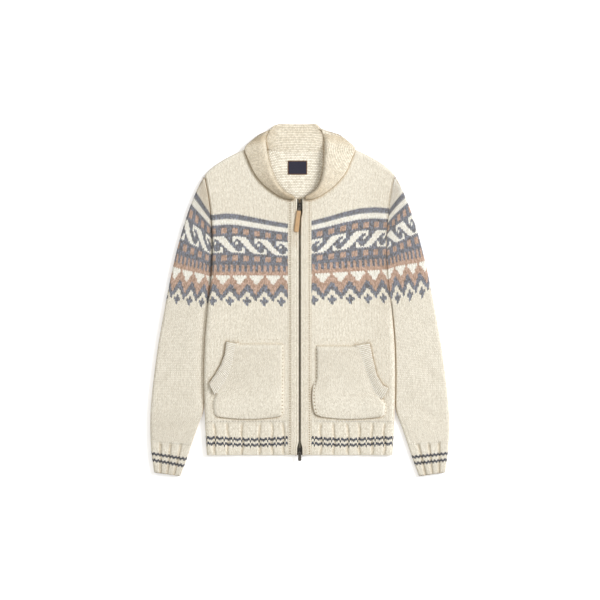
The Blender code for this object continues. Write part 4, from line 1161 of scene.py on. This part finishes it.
def back_grid(rows, columns):
    """The back's outer face at the given heights, from its left side to its right side."""
    turn_share = 0.04
    place = np.linspace(-1, 1, columns + 1)[None, :]
    share = np.clip(abs(place) / (1 - turn_share), 0, 1)
    angle = np.clip((abs(place) - 1 + turn_share) / turn_share, 0, 1) * math.pi / 2
    y = np.asarray(rows)[:, None] + 0 * place
    inner = half_width(y) - side_reach(y)
    out = inner * share + side_reach(y) * np.sin(angle)
    top = back_top_edge(out)
    y = np.minimum(y, top)
    rim = ease(0.094, 0.104, out)
    lean_out = np.clip(1 - (top - y) / SHOULDER_RADIUS, 0, 1) * rim
    rise = (SIDE_MID - SEAM) * body_side(y) * (1 - np.cos(angle))
    rise_up = (SHOULDER_MID - SEAM) * (1 - np.sqrt(1 - lean_out ** 2))
    return np.stack([np.sign(place) * out, y, np.maximum(rise, rise_up)], axis=-1)


yoke_top, yoke_low = 0.1900, -0.0130
pitch = (yoke_top - yoke_low) / TIP_ROW
yoke_rows = yoke_top - pitch * np.arange(CHART_ROWS + 1)
above_rows = np.concatenate([np.linspace(0.3500, 0.2700, 33), np.linspace(0.2700, yoke_top, 9)[1:]])
below_rows = np.linspace(yoke_rows[-1], RIB_Y + SEAM, 26)
PLAIN_COLUMNS = 84
back_yoke = back_grid(yoke_rows, 2 * BACK_COLUMNS)
back_above, back_below = (back_grid(rows, PLAIN_COLUMNS) for rows in (above_rows, below_rows))
half = BACK_COLUMNS // 2
right_chart = yoke_chart(half, *BACK_PHASES)
back_codes = np.concatenate([right_chart[:, ::-1], right_chart], axis=1)
rows_up = (above_rows[0] - yoke_top) / pitch
rows_down = (below_rows[0] - below_rows[-1]) / pitch
patches = [
    stitches(back_yoke, back_codes, sign=-1, flat=True),
    plain(back_above, BACK_COLUMNS, rows_up),
    plain(back_below, BACK_COLUMNS, rows_down),
]
NECK_HALF, NECK_LOW, NECK_COLUMNS, NECK_ROWS = 0.098, 0.2180, 52, 32
neck_x = np.linspace(-NECK_HALF, NECK_HALF, 2 * NECK_COLUMNS + 1)[None, :]
neck_share = np.linspace(0, 1, NECK_ROWS + 1)[:, None]
neck_y = (back_top_edge(abs(neck_x)) + 0.0016) * (1 - neck_share) + NECK_LOW * neck_share
neck_z = WALL + 0.0010 * (1 - ease(0.0, 0.06, neck_share)) + 0 * neck_x
neck_inside = np.stack([neck_x + 0 * neck_y, neck_y, neck_z], axis=-1)
back = sew("back_panel", patches, jersey)
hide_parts("back")
lay(back, [back_yoke, back_above, back_below], stacked=True)
back_inside = sew("back_neck_inside", [bumps(neck_inside, relief=0.0011)], purl_side)
lay(back_inside, [neck_inside])

# %% Knit the hem's back
hem_back_base = back_grid(np.linspace(RIB_Y, HEM_Y, HEM_ROWS + 1), 2 * BACK_COLUMNS)
codes = np.full((HEM_ROWS, BACK_COLUMNS), CREAM)
codes[list(HEM_STRIPES)] = LETTERS.index("s")
hem_back = sew("hem_back_rib", [stitches(hem_back_base, codes, -1, flat=True, skirt="B")], ribbing)
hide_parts("hem_back")
lay(hem_back, [hem_back_base])

# %% [markdown]
# ## The front bands
#
# Each front edge is a narrow band that is folded double over the zip's tape. Its fold stands
# rounded beside the teeth, and a column of pulled stitches shows where it is sewn to the front.

# %% Knit the bands
BAND_STITCHES, BAND_ROWS = 9, 218
BAND_SECTION = np.array((
    # out, top
    (BAND_OUT + SEAM, 0.0102), (0.0238, 0.0108), (0.0190, 0.0116), (0.0130, 0.0120),
    (0.0096, 0.0120), (0.0081, 0.0112), (0.0066, 0.0120), (0.0050, 0.0125), (0.0035, 0.0121),
    (0.0025, 0.0108), (0.0025, 0.0094), (0.0034, 0.0086)))
SLIDER_ROOM = 0.0034      # how far the folds part for a slider
BAND_RIDGE = 0.0004       # height of the little ridges across the band
for side in (-1, 1):
    keys = np.arange(len(BAND_SECTION))
    fine = np.linspace(0, len(BAND_SECTION) - 1, 80)
    section = np.stack([smooth_curve(keys, BAND_SECTION[:, 0], fine), 0 * fine,
                        smooth_curve(keys, BAND_SECTION[:, 1], fine)], axis=-1)
    line = spaced(section, 2 * BAND_STITCHES)
    y = np.linspace(BAND_END_Y, HEM_Y, BAND_ROWS + 1)[:, None]
    parted = ease(0.180, 0.202, y) + 1 - ease(-0.333, -0.318, y)
    near_zip = 1 - ease(0.0035, 0.0170, line[None, :, 0])
    base = np.zeros((BAND_ROWS + 1, len(line), 3))
    base[..., 0] = side * (line[None, :, 0] + SLIDER_ROOM * parted * near_zip)
    base[..., 1] = y
    ends = ease(0, 0.003, y - HEM_Y) * ease(0, 0.003, BAND_END_Y - y)
    crossed = 1.5 * ease(0.0095, 0.0115, line[None, :, 0]) * (1 - ease(0.019, 0.021, line[None, :, 0]))
    ridge = BAND_RIDGE * np.where(np.arange(BAND_ROWS + 1) % 2, 1.0, -1.0)[:, None]
    base[..., 2] = line[None, :, 2] - 0.001 * (1 - ends) + ridge * crossed
    codes = np.full((BAND_ROWS, BAND_STITCHES), CREAM)
    # Pulled-in stitches where the band is sewn, dimpled and painted darker as the shade in their
    # hollows
    codes[::2, 1] = SHADED_DIMPLE
    name = "band_" + SIDE_NAMES[side]
    band = sew(name + "_rib", [stitches(base, codes, -side, skirt="TB")], ribbing)
    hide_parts(name)
    lay(band, [base])

# %% [markdown]
# ## The patch pockets
#
# The pocket bag is its own knitted piece, a little puffed, sewn on at the top, the zip side and
# the bottom. Its slanted opening has a rib whose columns run across the edge. The two pockets
# hang differently, so each has its own outline, and the right one bulges towards the zip.

# %% Forms of a pocket
POCKET_PUFF, POCKET_REST, TRIM_PUFF = 0.0035, 0.0008, 0.0012
SEWN_DROP = POCKET_REST + WALL + 0.0008
POCKET_COLUMNS, POCKET_ROWS = 50, 62
POCKET_SAG, POCKET_BULGE = 0.0075, {-1: 0.0005, 1: 0.0070}
POCKET_SKIRT = 0.0034
ROLL_DROP, ROLL_RADIUS, LOW_ROLL_RADIUS = 0.0030, 0.0035, 0.0045


def pocket_height(x, y, puff):
    """Top face of a pocket bag over the front it lies on, fuller in its lower half."""
    out = abs(x)
    edge = np.minimum.reduce([(out - POCKET_IN + 0.008) / 0.045, (0.204 - out) / 0.045,
                              (y - POCKET_LOW + 0.007) / 0.035, (-0.093 - y) / 0.06,
                              0 * out + 1.0])
    full = ease(0.0, 1.0, np.maximum(edge, 0.0))
    return front_top(x, y) + POCKET_REST + WALL + POCKET_PUFF * full * puff


def rolled(distance, radius):
    """Drop of a rolled edge: 1 at the edge and 0 from a radius in."""
    return 1 - np.sqrt(1 - 0.98 * (1 - np.clip(distance / radius, 0, 1)) ** 2)


print("a rolled edge drops by", [round(float(rolled(t, 1)), 2) for t in (0.0, 0.3, 1.0)])

# %% Knit the pocket bags
for side in (-1, 1):
    table = POCKET_EDGE[side]
    top_y = table[-1, 0]
    down = np.linspace(0, 1, POCKET_ROWS + 1)[:, None]
    across = np.linspace(0, 1, 2 * POCKET_COLUMNS + 1)[None, :]
    sag = POCKET_SAG * (np.sin(math.pi * across) ** 0.7 - 0.35) * down ** 3
    y = top_y + (POCKET_LOW - top_y) * down - sag
    bag_out = np.interp(y, table[:, 0], table[:, 1])
    bulge = POCKET_BULGE[side] * np.sin(math.pi * np.clip((down - 0.45) / 0.55, 0, 1))
    corner = 0.007 * ease(0.95, 1.0, down)
    first = POCKET_IN + corner - bulge
    out = first + (bag_out - corner - first) * across
    low_side = 1 - ease(table[2, 0] - 0.004, table[2, 0] + 0.004, y)
    puff = ease(0.0, 0.022, (bag_out - out) + 0.05 * low_side)
    z = pocket_height(side * out, y, puff) + TRIM_PUFF * (1 - puff)
    near_low = np.minimum(down[-1] - down, 1) * (top_y - POCKET_LOW)
    sewn = 1 - ease(0.0, 0.009, out - first)
    loose = ease(0.45, 0.65, down) if side > 0 else 0.0
    drop = ROLL_DROP * loose * rolled(out - first, ROLL_RADIUS) + SEWN_DROP * (1 - loose) * sewn
    trimmed = ease(0.004, 0.012, bag_out - out)
    z -= np.maximum.reduce([ROLL_DROP * rolled(near_low, LOW_ROLL_RADIUS) + 0 * out, drop,
                            SEWN_DROP * (1 - ease(0.0, 0.009, top_y - y)) * trimmed,
                            SEWN_DROP * low_side * (1 - ease(0.0, 0.010, bag_out - corner - out))])
    base = np.stack([side * out, y, z], axis=-1)
    codes = np.full((POCKET_ROWS, POCKET_COLUMNS), CREAM)
    # Eyelets along the sewn edges: pulled-in stitches, dimpled and painted darker as the shade in
    # their hollows
    codes[1::3, 1] = SHADED_DIMPLE
    codes[46::3, -1] = SHADED_DIMPLE
    bag = sew("pocket_" + SIDE_NAMES[side] + "_bag",
              [stitches(base, codes, side, skirt="TBLR", depth=POCKET_SKIRT)], jersey)
    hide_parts("pocket_" + SIDE_NAMES[side])
    lay(bag, [base])

# %% [markdown]
# The trim is a rib that was knitted sideways out of the bag's slanted edge. Its rows run along
# the opening and its columns across it, so the little ribs stay square to the edge all the way.
# At this size the ribs are too low to cast shadows, so light and shade are painted: every other
# column is cream painted darker, a painted shade, and the ones between are off-white, a painted
# highlight.

# %% Knit the pocket trims
TRIM_COLUMNS, TRIM_ROWS = 60, 8
TRIM_TIP = 4           # the table's row where the trim's outer edge ends
TRIM_LAP = 0.08        # how much of its width the trim lies over the bag
TRIM_RIB = 0.0004
for side in (-1, 1):
    table = POCKET_EDGE[side][::-1]
    seam = np.stack([table[:-2, 1], table[:-2, 0], 0 * table[:-2, 0]], axis=-1)
    edge = table[:len(table) - TRIM_TIP]
    edge = np.stack([edge[:, 2], edge[:, 0], 0 * edge[:, 0]], axis=-1)
    edge[0, 1] += 0.0040
    seam, edge = spaced(seam, 2 * TRIM_COLUMNS), spaced(edge, 2 * TRIM_COLUMNS)
    share = np.linspace(0, 1, TRIM_ROWS + 1)[:, None]
    over = share * (1 + TRIM_LAP) - TRIM_LAP
    flat_place = seam[None] * (1 - over[..., None]) + edge[None] * over[..., None]
    x, y = side * flat_place[..., 0], flat_place[..., 1]
    rib = TRIM_RIB * np.cos(np.arange(2 * TRIM_COLUMNS + 1) * math.pi / 2)[None, :]
    wide = np.linalg.norm(edge - seam, axis=1)[None, :]
    z = front_top(x, y) + POCKET_REST + WALL + TRIM_PUFF + rib * ease(0, 0.3, share)
    z += 0.0003 + 0.0006 * np.sin(math.pi * share)
    z -= ROLL_DROP * rolled((1 - share) * wide, ROLL_RADIUS)
    base = np.stack([x, y, z], axis=-1)
    # painted highlight and painted shade on alternate columns
    codes = np.full((TRIM_ROWS, TRIM_COLUMNS), LETTERS.index("w"))
    codes[:, ::2] = LETTERS.index("r")
    trim = sew("pocket_trim_" + SIDE_NAMES[side] + "_rib",
               [stitches(base, codes, -side, skirt="BLR", depth=POCKET_SKIRT)], ribbing)
    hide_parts("pocket_trim_" + SIDE_NAMES[side])
    lay(trim, [base])

# %% [markdown]
# ## The shawl collar
#
# The collar stands up from the neckline, rolls over and falls outward. It is knitted in ridges
# that run along its length. The middle line of its wall is known at twelve sections, and a smooth
# surface through them is thickened to both sides, so that the fall has a round, thick edge.

# %% Collar sections
COLLAR_SECTIONS = np.array((
    # seam: out, y, z, crest: out, y, z, fall: out, y, z, roll, lean, turn, rise
    (0.0200, 0.2310, 0.0140, 0.0120, 0.2302, 0.0168, 0.0112, 0.2266, 0.0156, 0.0024, 0.0000, 90, 0),
    (0.0330, 0.2350, 0.0112, 0.0305, 0.2375, 0.0165, 0.0310, 0.2290, 0.0137, 0.0040, 0.0005, 90, 0),
    (0.0460, 0.2410, 0.0086, 0.0430, 0.2470, 0.0160, 0.0515, 0.2385, 0.0135, 0.0048, 0.0012, 90, 0),
    (0.0620, 0.2575, 0.0084, 0.0565, 0.2670, 0.0158, 0.0795, 0.2592, 0.0135, 0.0050, 0.0030, 90, 0),
    (0.0750, 0.2830, 0.0082, 0.0650, 0.2935, 0.0156, 0.1020, 0.2860, 0.0135, 0.0050, 0.0055, 90, 0),
    (0.0855, 0.3160, 0.0080, 0.0700, 0.3215, 0.0152, 0.1165, 0.3180, 0.0135, 0.0050, 0.0080, 86, 0),
    (0.0920, 0.3410, 0.0075, 0.0720, 0.3440, 0.0142, 0.1240, 0.3410, 0.0124, 0.0048, 0.0095, 70, 0),
    (0.0890, 0.3485, 0.0060, 0.0710, 0.3655, 0.0118, 0.1080, 0.3580, 0.0085, 0.0045, 0.0110, 35, 0),
    (0.0780, 0.3440, 0.0040, 0.0600, 0.3810, 0.0084, 0.0840, 0.3740, 0.0048, 0.0036, 0.0090, -20,
     0.002),
    (0.0560, 0.3372, 0.0030, 0.0420, 0.3908, 0.0062, 0.0520, 0.3670, 0.0030, 0.0030, 0.0050, -65,
     0.003),
    (0.0280, 0.3340, 0.0027, 0.0200, 0.3915, 0.0056, 0.0250, 0.3630, 0.0028, 0.0029, 0.0020, -88,
     0.003),
    (0.0000, 0.3332, 0.0027, 0.0000, 0.3915, 0.0056, 0.0000, 0.3620, 0.0028, 0.0029, 0.0000, -90,
     0.003),
))
print("the collar is drawn from", len(COLLAR_SECTIONS), "sections")

# %% The collar's wall
COLLAR_SEAM = 0.0012


def clear_of_neckline(place):
    """Moves a place to the collar's clearance from the neckline, inside the opening."""
    front = [Vector((0.0, BAND_END_Y))] + [Vector(row) for row in FRONT_TOP_EDGE[:6]]
    back = [Vector((-0.02, 0.3316))] + [Vector(row) for row in BACK_NECKLINE]
    best = None
    for line in (front, back):
        for a, b in zip(line, line[1:]):
            t = min(max((place - a).dot(b - a) / (b - a).length_squared, 0.0), 1.0)
            foot, along = a.lerp(b, t), (b - a).normalized()
            if best is None or (place - foot).length < (place - best[0]).length:
                best = (foot, Vector((-along.y, along.x)))
    return best[0] + best[1] * COLLAR_SEAM


def collar_line(side, share):
    """Middle line of the collar's wall: up the stand, round the roll and down the fall."""
    keys = np.linspace(0, 1, len(COLLAR_SECTIONS))
    row = [float(smooth_curve(keys, COLLAR_SECTIONS[:, k], share)) for k in range(13)]
    edge = clear_of_neckline(Vector(row[:2]))
    seam = Vector((side * edge.x, edge.y, row[2]))
    crest = Vector((side * row[3] - row[10], row[4], row[5]))
    fall = Vector((side * row[6], row[7], row[8]))
    roll, turn = row[9], math.radians(row[11])
    away = fall - crest
    away.z = 0.0
    away.normalize()
    over = away * math.cos(turn) + Vector((0.0, 0.0, math.sin(turn)))
    low, high = crest - over * roll, crest + over * roll
    inward = away * -roll * 0.9
    points = [seam, seam.lerp(low, 0.4) + Vector((0.0, 0.0, row[12])), low + inward * 0.1,
              low + over * roll * 0.35 + inward * 0.75, crest + inward,
              high - over * roll * 0.35 + inward * 0.75, high + inward * 0.1,
              high.lerp(fall, 0.35) + over * 0.0006, high.lerp(fall, 0.72) + over * 0.0003, fall]
    points = np.array([tuple(p) for p in points])
    fine = np.linspace(0, 9, 46)
    return np.stack([smooth_curve(np.arange(10), points[:, k], fine) for k in range(3)], axis=-1)


# %% Knit the collar
COLLAR_RIDGES, COLLAR_COLUMNS = 54, 190
TIP_SIZE = 0.35        # the collar's ends taper to this share, where they are sewn into the band
halves = [[collar_line(side, share) for share in np.linspace(0, 1, 60)] for side in (-1, 1)]
middle = np.array(halves[0] + halves[1][::-1][1:])
middle = np.stack([points_at(line, np.linspace(0, lengths(line)[-1] - WALL / 2, 41))
                   for line in middle])
steps = lengths(middle[:, 20])
middle = rows_at(steps, middle, np.linspace(0, steps[-1], 2 * COLLAR_COLUMNS + 1))
outward = face_normals(middle, 1)
loops = []
for line, normal in zip(middle, outward):
    edge_dir = line[-1] - line[-3]
    edge_dir = edge_dir / max(np.linalg.norm(edge_dir), 1e-9)
    rim = [line[-1] + (normal[-1] * math.cos(a) + edge_dir * math.sin(a)) * WALL / 2
           for a in np.radians([20, 45, 70, 90, 110, 135, 160])]
    loop = np.concatenate([line + normal * WALL / 2, rim, (line - normal * WALL / 2)[::-1],
                           (line + normal * WALL / 2)[:1]])
    loops.append(spaced(loop, COLLAR_RIDGES))
collar_base = np.stack(loops, axis=1)
for k in (0, -1):
    tip = collar_base[:, k].mean(axis=0)
    collar_base[:, k] = collar_base[:, k] * TIP_SIZE + tip * (1 - TIP_SIZE)
print("collar grid", collar_base.shape, "lowest", round(collar_base[..., 2].min(), 4))
collar = sew("collar_roll", [bumps(collar_base, relief=0.0013, closed=True)], purl_side)
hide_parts("collar")
lay(collar, [collar_base], layers=2)

# %% [markdown]
# ## The zip
#
# A metal zip is two woven tapes with a row of teeth clamped to each, and the two rows mesh. Each
# tooth here is one small chamfered block with a narrower tip, and copies of it joined in one mesh
# make a row. Past the upper slider the zip is open, so the last teeth spread. The tapes are the
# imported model's own, with a woven material.


# %% Zip materials
def woven_material(name, colour, second, scale, roughness=0.8):
    """A plain weave: two sets of fine threads at right angles, in two close tones. The darker tone
    lies towards each thread's edges, a painted shade between the threads.
    """
    made, tree, shader = new_material(name, Roughness=roughness, Specular_IOR_Level=0.3)
    split = add_node(tree, "SeparateXYZ")
    tree.links.new(add_node(tree, "TexCoord").outputs["Object"], split.inputs[0])
    warp = arch(tree, maths(tree, "MULTIPLY", split.outputs["X"], scale))
    weft = arch(tree, maths(tree, "MULTIPLY", split.outputs["Y"], scale))
    weave = maths(tree, "MULTIPLY", warp, weft)
    # Painted shade: the second, darker colour where the threads dip between each other
    mix = add_node(tree, "Mix", data_type="RGBA")
    tree.links.new(weave, mix.inputs["Factor"])
    mix.inputs["A"].default_value = (*[linear(c) for c in second], 1.0)
    mix.inputs["B"].default_value = (*[linear(c) for c in colour], 1.0)
    tree.links.new(mix.outputs["Result"], shader.inputs["Base Color"])
    bump = add_node(tree, "Bump")
    bump.inputs["Strength"].default_value = 0.5
    bump.inputs["Distance"].default_value = 0.0002
    tree.links.new(weave, bump.inputs["Height"])
    tree.links.new(bump.outputs["Normal"], shader.inputs["Normal"])
    return made


def metal_material(name, colour, worn):
    """Dark plated brass, lighter where handling has worn its edges, with fine grain."""
    made, tree, shader = new_material(name, Metallic=1.0)
    place = add_node(tree, "TexCoord").outputs["Object"]
    rough = maths(tree, "MULTIPLY_ADD", noise(tree, place, 900.0), 0.25, 0.28)
    tree.links.new(rough, shader.inputs["Roughness"])
    edges = add_node(tree, "NewGeometry").outputs["Pointiness"]
    wear = add_node(tree, "MapRange")
    tree.links.new(edges, wear.inputs["Value"])
    wear.inputs["From Min"].default_value = 0.5
    wear.inputs["From Max"].default_value = 0.6
    mix = add_node(tree, "Mix", data_type="RGBA")
    patchy = maths(tree, "MULTIPLY", wear.outputs["Result"], noise(tree, place, 300.0))
    tree.links.new(patchy, mix.inputs["Factor"])
    mix.inputs["A"].default_value = (*[linear(c) for c in colour], 1.0)
    mix.inputs["B"].default_value = (*[linear(c) for c in worn], 1.0)
    tree.links.new(mix.outputs["Result"], shader.inputs["Base Color"])
    return made


tape_weave = woven_material("olive_tape", (86, 84, 70), (48, 47, 40), 1400.0)
gunmetal = metal_material("gunmetal", (112, 109, 99), (176, 168, 152))
blackened = metal_material("blackened_metal", (58, 56, 54), (128, 122, 114))
for side in (-1, 1):
    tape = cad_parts["zip_tape_" + SIDE_NAMES[side]]
    tape.data.materials.clear()
    tape.data.materials.append(tape_weave)


# %% Zip teeth
def copies(name, points, faces, moves, finish, body):
    """Many moved copies of a small shape, joined in one mesh."""
    points = np.asarray(points, float)
    everything = (points[None] + np.asarray(moves)[:, None]).reshape(-1, 3)
    every_face = [[i + n * len(points) for i in face] for n in range(len(moves)) for face in faces]
    mesh = bpy.data.meshes.new(name)
    mesh.from_pydata(everything.tolist(), [], every_face)
    mesh.materials.append(finish)
    obj = bpy.data.objects.new(name, mesh)
    bpy.context.scene.collection.objects.link(obj)
    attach(obj, body)
    print(f"{name}: {len(moves)} copies")
    return obj


def prism(outline, low, high, chamfer):
    """Points and faces of an upright block with a chamfered top and bottom."""
    outline = np.array(outline, float)
    middle = outline.mean(axis=0)
    small = middle + (outline - middle) * (1 - chamfer)
    cut = (high - low) * chamfer
    levels = ((low, small), (low + cut, outline), (high - cut, outline), (high, small))
    points = [(x, y, z) for z, ring in levels for x, y in ring]
    n = len(outline)
    faces = [[k * n + i, k * n + (i + 1) % n, (k + 1) * n + (i + 1) % n, (k + 1) * n + i]
             for k in range(3) for i in range(n)]
    faces += [list(range(n))[::-1], [3 * n + i for i in range(n)]]
    return points, faces


TOOTH_PITCH, TOOTH_LOW, TOOTH_HIGH, CHAMFER = 0.0022, 0.0054, 0.0086, 0.18
FIRST_TOOTH, SPREAD_START, SPREAD_TEETH = 0.0008, 0.0160, 4
teeth_low, teeth_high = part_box("zip_teeth_right")
for side in (-1, 1):
    outline = [(side * x, y) for x, y in ((-0.0006, -0.0004), (-0.0006, 0.0004), (0.0006, 0.0005),
                                          (0.0010, 0.0007), (0.0026, 0.0007), (0.0026, -0.0007),
                                          (0.0010, -0.0007), (0.0006, -0.0005))]
    if side > 0:
        outline = outline[::-1]
    points, faces = prism(outline, TOOTH_LOW, TOOTH_HIGH, CHAMFER)
    first = teeth_low.y + (TOOTH_PITCH / 2 if side > 0 else 0.0) + FIRST_TOOTH
    count = int((teeth_high.y - first) / TOOTH_PITCH)
    moves = [(0.0, first + TOOTH_PITCH * k, 0.0) for k in range(count)]
    spread = [(side * (0.0011 + 0.0003 * k), teeth_high.y + SPREAD_START + TOOTH_PITCH * k, 0.0)
              for k in range(SPREAD_TEETH)]
    teeth = copies("zip_teeth_row_" + SIDE_NAMES[side], points, faces, moves + spread, gunmetal,
                   "cardigan")
    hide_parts("zip_teeth_" + SIDE_NAMES[side])

# %% [markdown]
# ## Sliders, pulls and label
#
# A slider is two plates with rounded shoulders, joined by a bridge, with a bail on top. The upper
# one holds a metal link and a tan leather tab with a stitched edge, and the lower one a small metal
# tab. They are rigid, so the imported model's own solids stay and only get their metal and leather.
# The label is plain woven cloth with a narrow border.

# %% Metal and leather pieces
leather, tree, hide = new_material("tan_leather", Roughness=0.55)
place = add_node(tree, "TexCoord").outputs["Object"]
grain = add_node(tree, "TexVoronoi")
grain.inputs["Scale"].default_value = 1500.0
tree.links.new(place, grain.inputs["Vector"])
tone = add_node(tree, "Mix", data_type="RGBA")
tree.links.new(noise(tree, place, 160.0, 4.0), tone.inputs["Factor"])
tone.inputs["A"].default_value = (*[linear(c) for c in (158, 122, 84)], 1.0)
tone.inputs["B"].default_value = (*[linear(c) for c in (200, 168, 126)], 1.0)
tree.links.new(tone.outputs["Result"], hide.inputs["Base Color"])
bump = add_node(tree, "Bump")
bump.inputs["Strength"].default_value = 0.35
bump.inputs["Distance"].default_value = 0.0002
tree.links.new(grain.outputs["Distance"], bump.inputs["Height"])
tree.links.new(bump.outputs["Normal"], hide.inputs["Normal"])

for node, finish in (("slider_top", blackened), ("slider_bottom", blackened),
                     ("pull_link_top", blackened), ("pull_tab_bottom", blackened),
                     ("pull_tab_top", leather)):
    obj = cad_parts[node]
    obj.data.materials.clear()
    obj.data.materials.append(finish)


# %% Stitches on the leather tab
THREAD_PITCH = 0.0027
tab = np.array([tuple(v.co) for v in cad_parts["pull_tab_top"].data.vertices])
centre = tab.mean(axis=0)
along = np.linalg.svd((tab - centre)[:, :2], full_matrices=False)[2][0]
across = np.array([-along[1], along[0]])
half_long = abs((tab - centre)[:, :2] @ along).max() - 0.0016
half_across = abs((tab - centre)[:, :2] @ across).max() - 0.0011
thread = []
for z in (0.0, 0.00035):
    for a, b in ((-0.0008, -0.00025), (0.0008, -0.00025), (0.0008, 0.00025), (-0.0008, 0.00025)):
        place = along * a + across * b
        thread.append((place[0], place[1], z - 0.00015))
thread_faces = [[3, 2, 1, 0], [4, 5, 6, 7], [0, 1, 5, 4], [1, 2, 6, 5], [2, 3, 7, 6], [3, 0, 4, 7]]
moves = [(*(centre[:2] + along * a + across * b), tab[:, 2].max())
         for a in np.arange(-half_long + 0.001, half_long, THREAD_PITCH)
         for b in (-half_across, half_across)]
waxed = woven_material("waxed_thread", (196, 170, 132), (150, 122, 88), 3000.0)
tab_stitches = copies("pull_tab_stitches", thread, thread_faces, moves, waxed, "pull_top")


# %% Weave the neck label
LABEL_BORDER, LABEL_WAVE, LABEL_SKIRT = 0.0016, 0.0003, 0.0009


def label_material(low, high):
    """A dark satin weave with a narrow brown border, and nothing written on it."""
    made = woven_material("dark_label", (46, 45, 62), (28, 27, 38), 2600.0, 0.7)
    tree = made.node_tree
    shader = tree.nodes["Principled BSDF"]
    weave = shader.inputs["Base Color"].links[0].from_socket
    split = add_node(tree, "SeparateXYZ")
    tree.links.new(add_node(tree, "TexCoord").outputs["Object"], split.inputs[0])
    gaps = []
    for axis, name in ((0, "X"), (1, "Y")):
        half = (high[axis] - low[axis]) / 2
        off = maths(tree, "SUBTRACT", split.outputs[name], (low[axis] + high[axis]) / 2)
        gaps.append(maths(tree, "SUBTRACT", half, maths(tree, "ABSOLUTE", off)))
    border = maths(tree, "LESS_THAN", maths(tree, "MINIMUM", *gaps), LABEL_BORDER)
    mix = add_node(tree, "Mix", data_type="RGBA")
    tree.links.new(border, mix.inputs["Factor"])
    tree.links.new(weave, mix.inputs["A"])
    mix.inputs["B"].default_value = (*[linear(c) for c in (88, 60, 44)], 1.0)
    tree.links.new(mix.outputs["Result"], shader.inputs["Base Color"])
    return made


label_low, label_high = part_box("neck_label")
u, v = np.linspace(0, 1, 65)[None, :], np.linspace(0, 1, 41)[:, None]
x = label_low[0] + (label_high[0] - label_low[0]) * u + 0 * v
y = label_high[1] - (label_high[1] - label_low[1]) * v + 0 * u
wave = np.sin(3 * u + 5 * v) * np.sin(math.pi * u) * np.sin(math.pi * v)
z = label_high[2] + LABEL_WAVE * wave
label_base = np.stack([x, y, z], axis=-1)
label = sew("label_cloth",
            [stitches(label_base, CREAM, flat=True, skirt="TBLR", depth=LABEL_SKIRT)],
            label_material(label_low, label_high))
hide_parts("neck_label")
lay(label, [label_base])

# %% [markdown]
# ## Close the lesson
#
# The triangles of the cloth are counted.

# %% Count the triangles
print("triangles in the cloth:", sum(triangle_counts.values()))
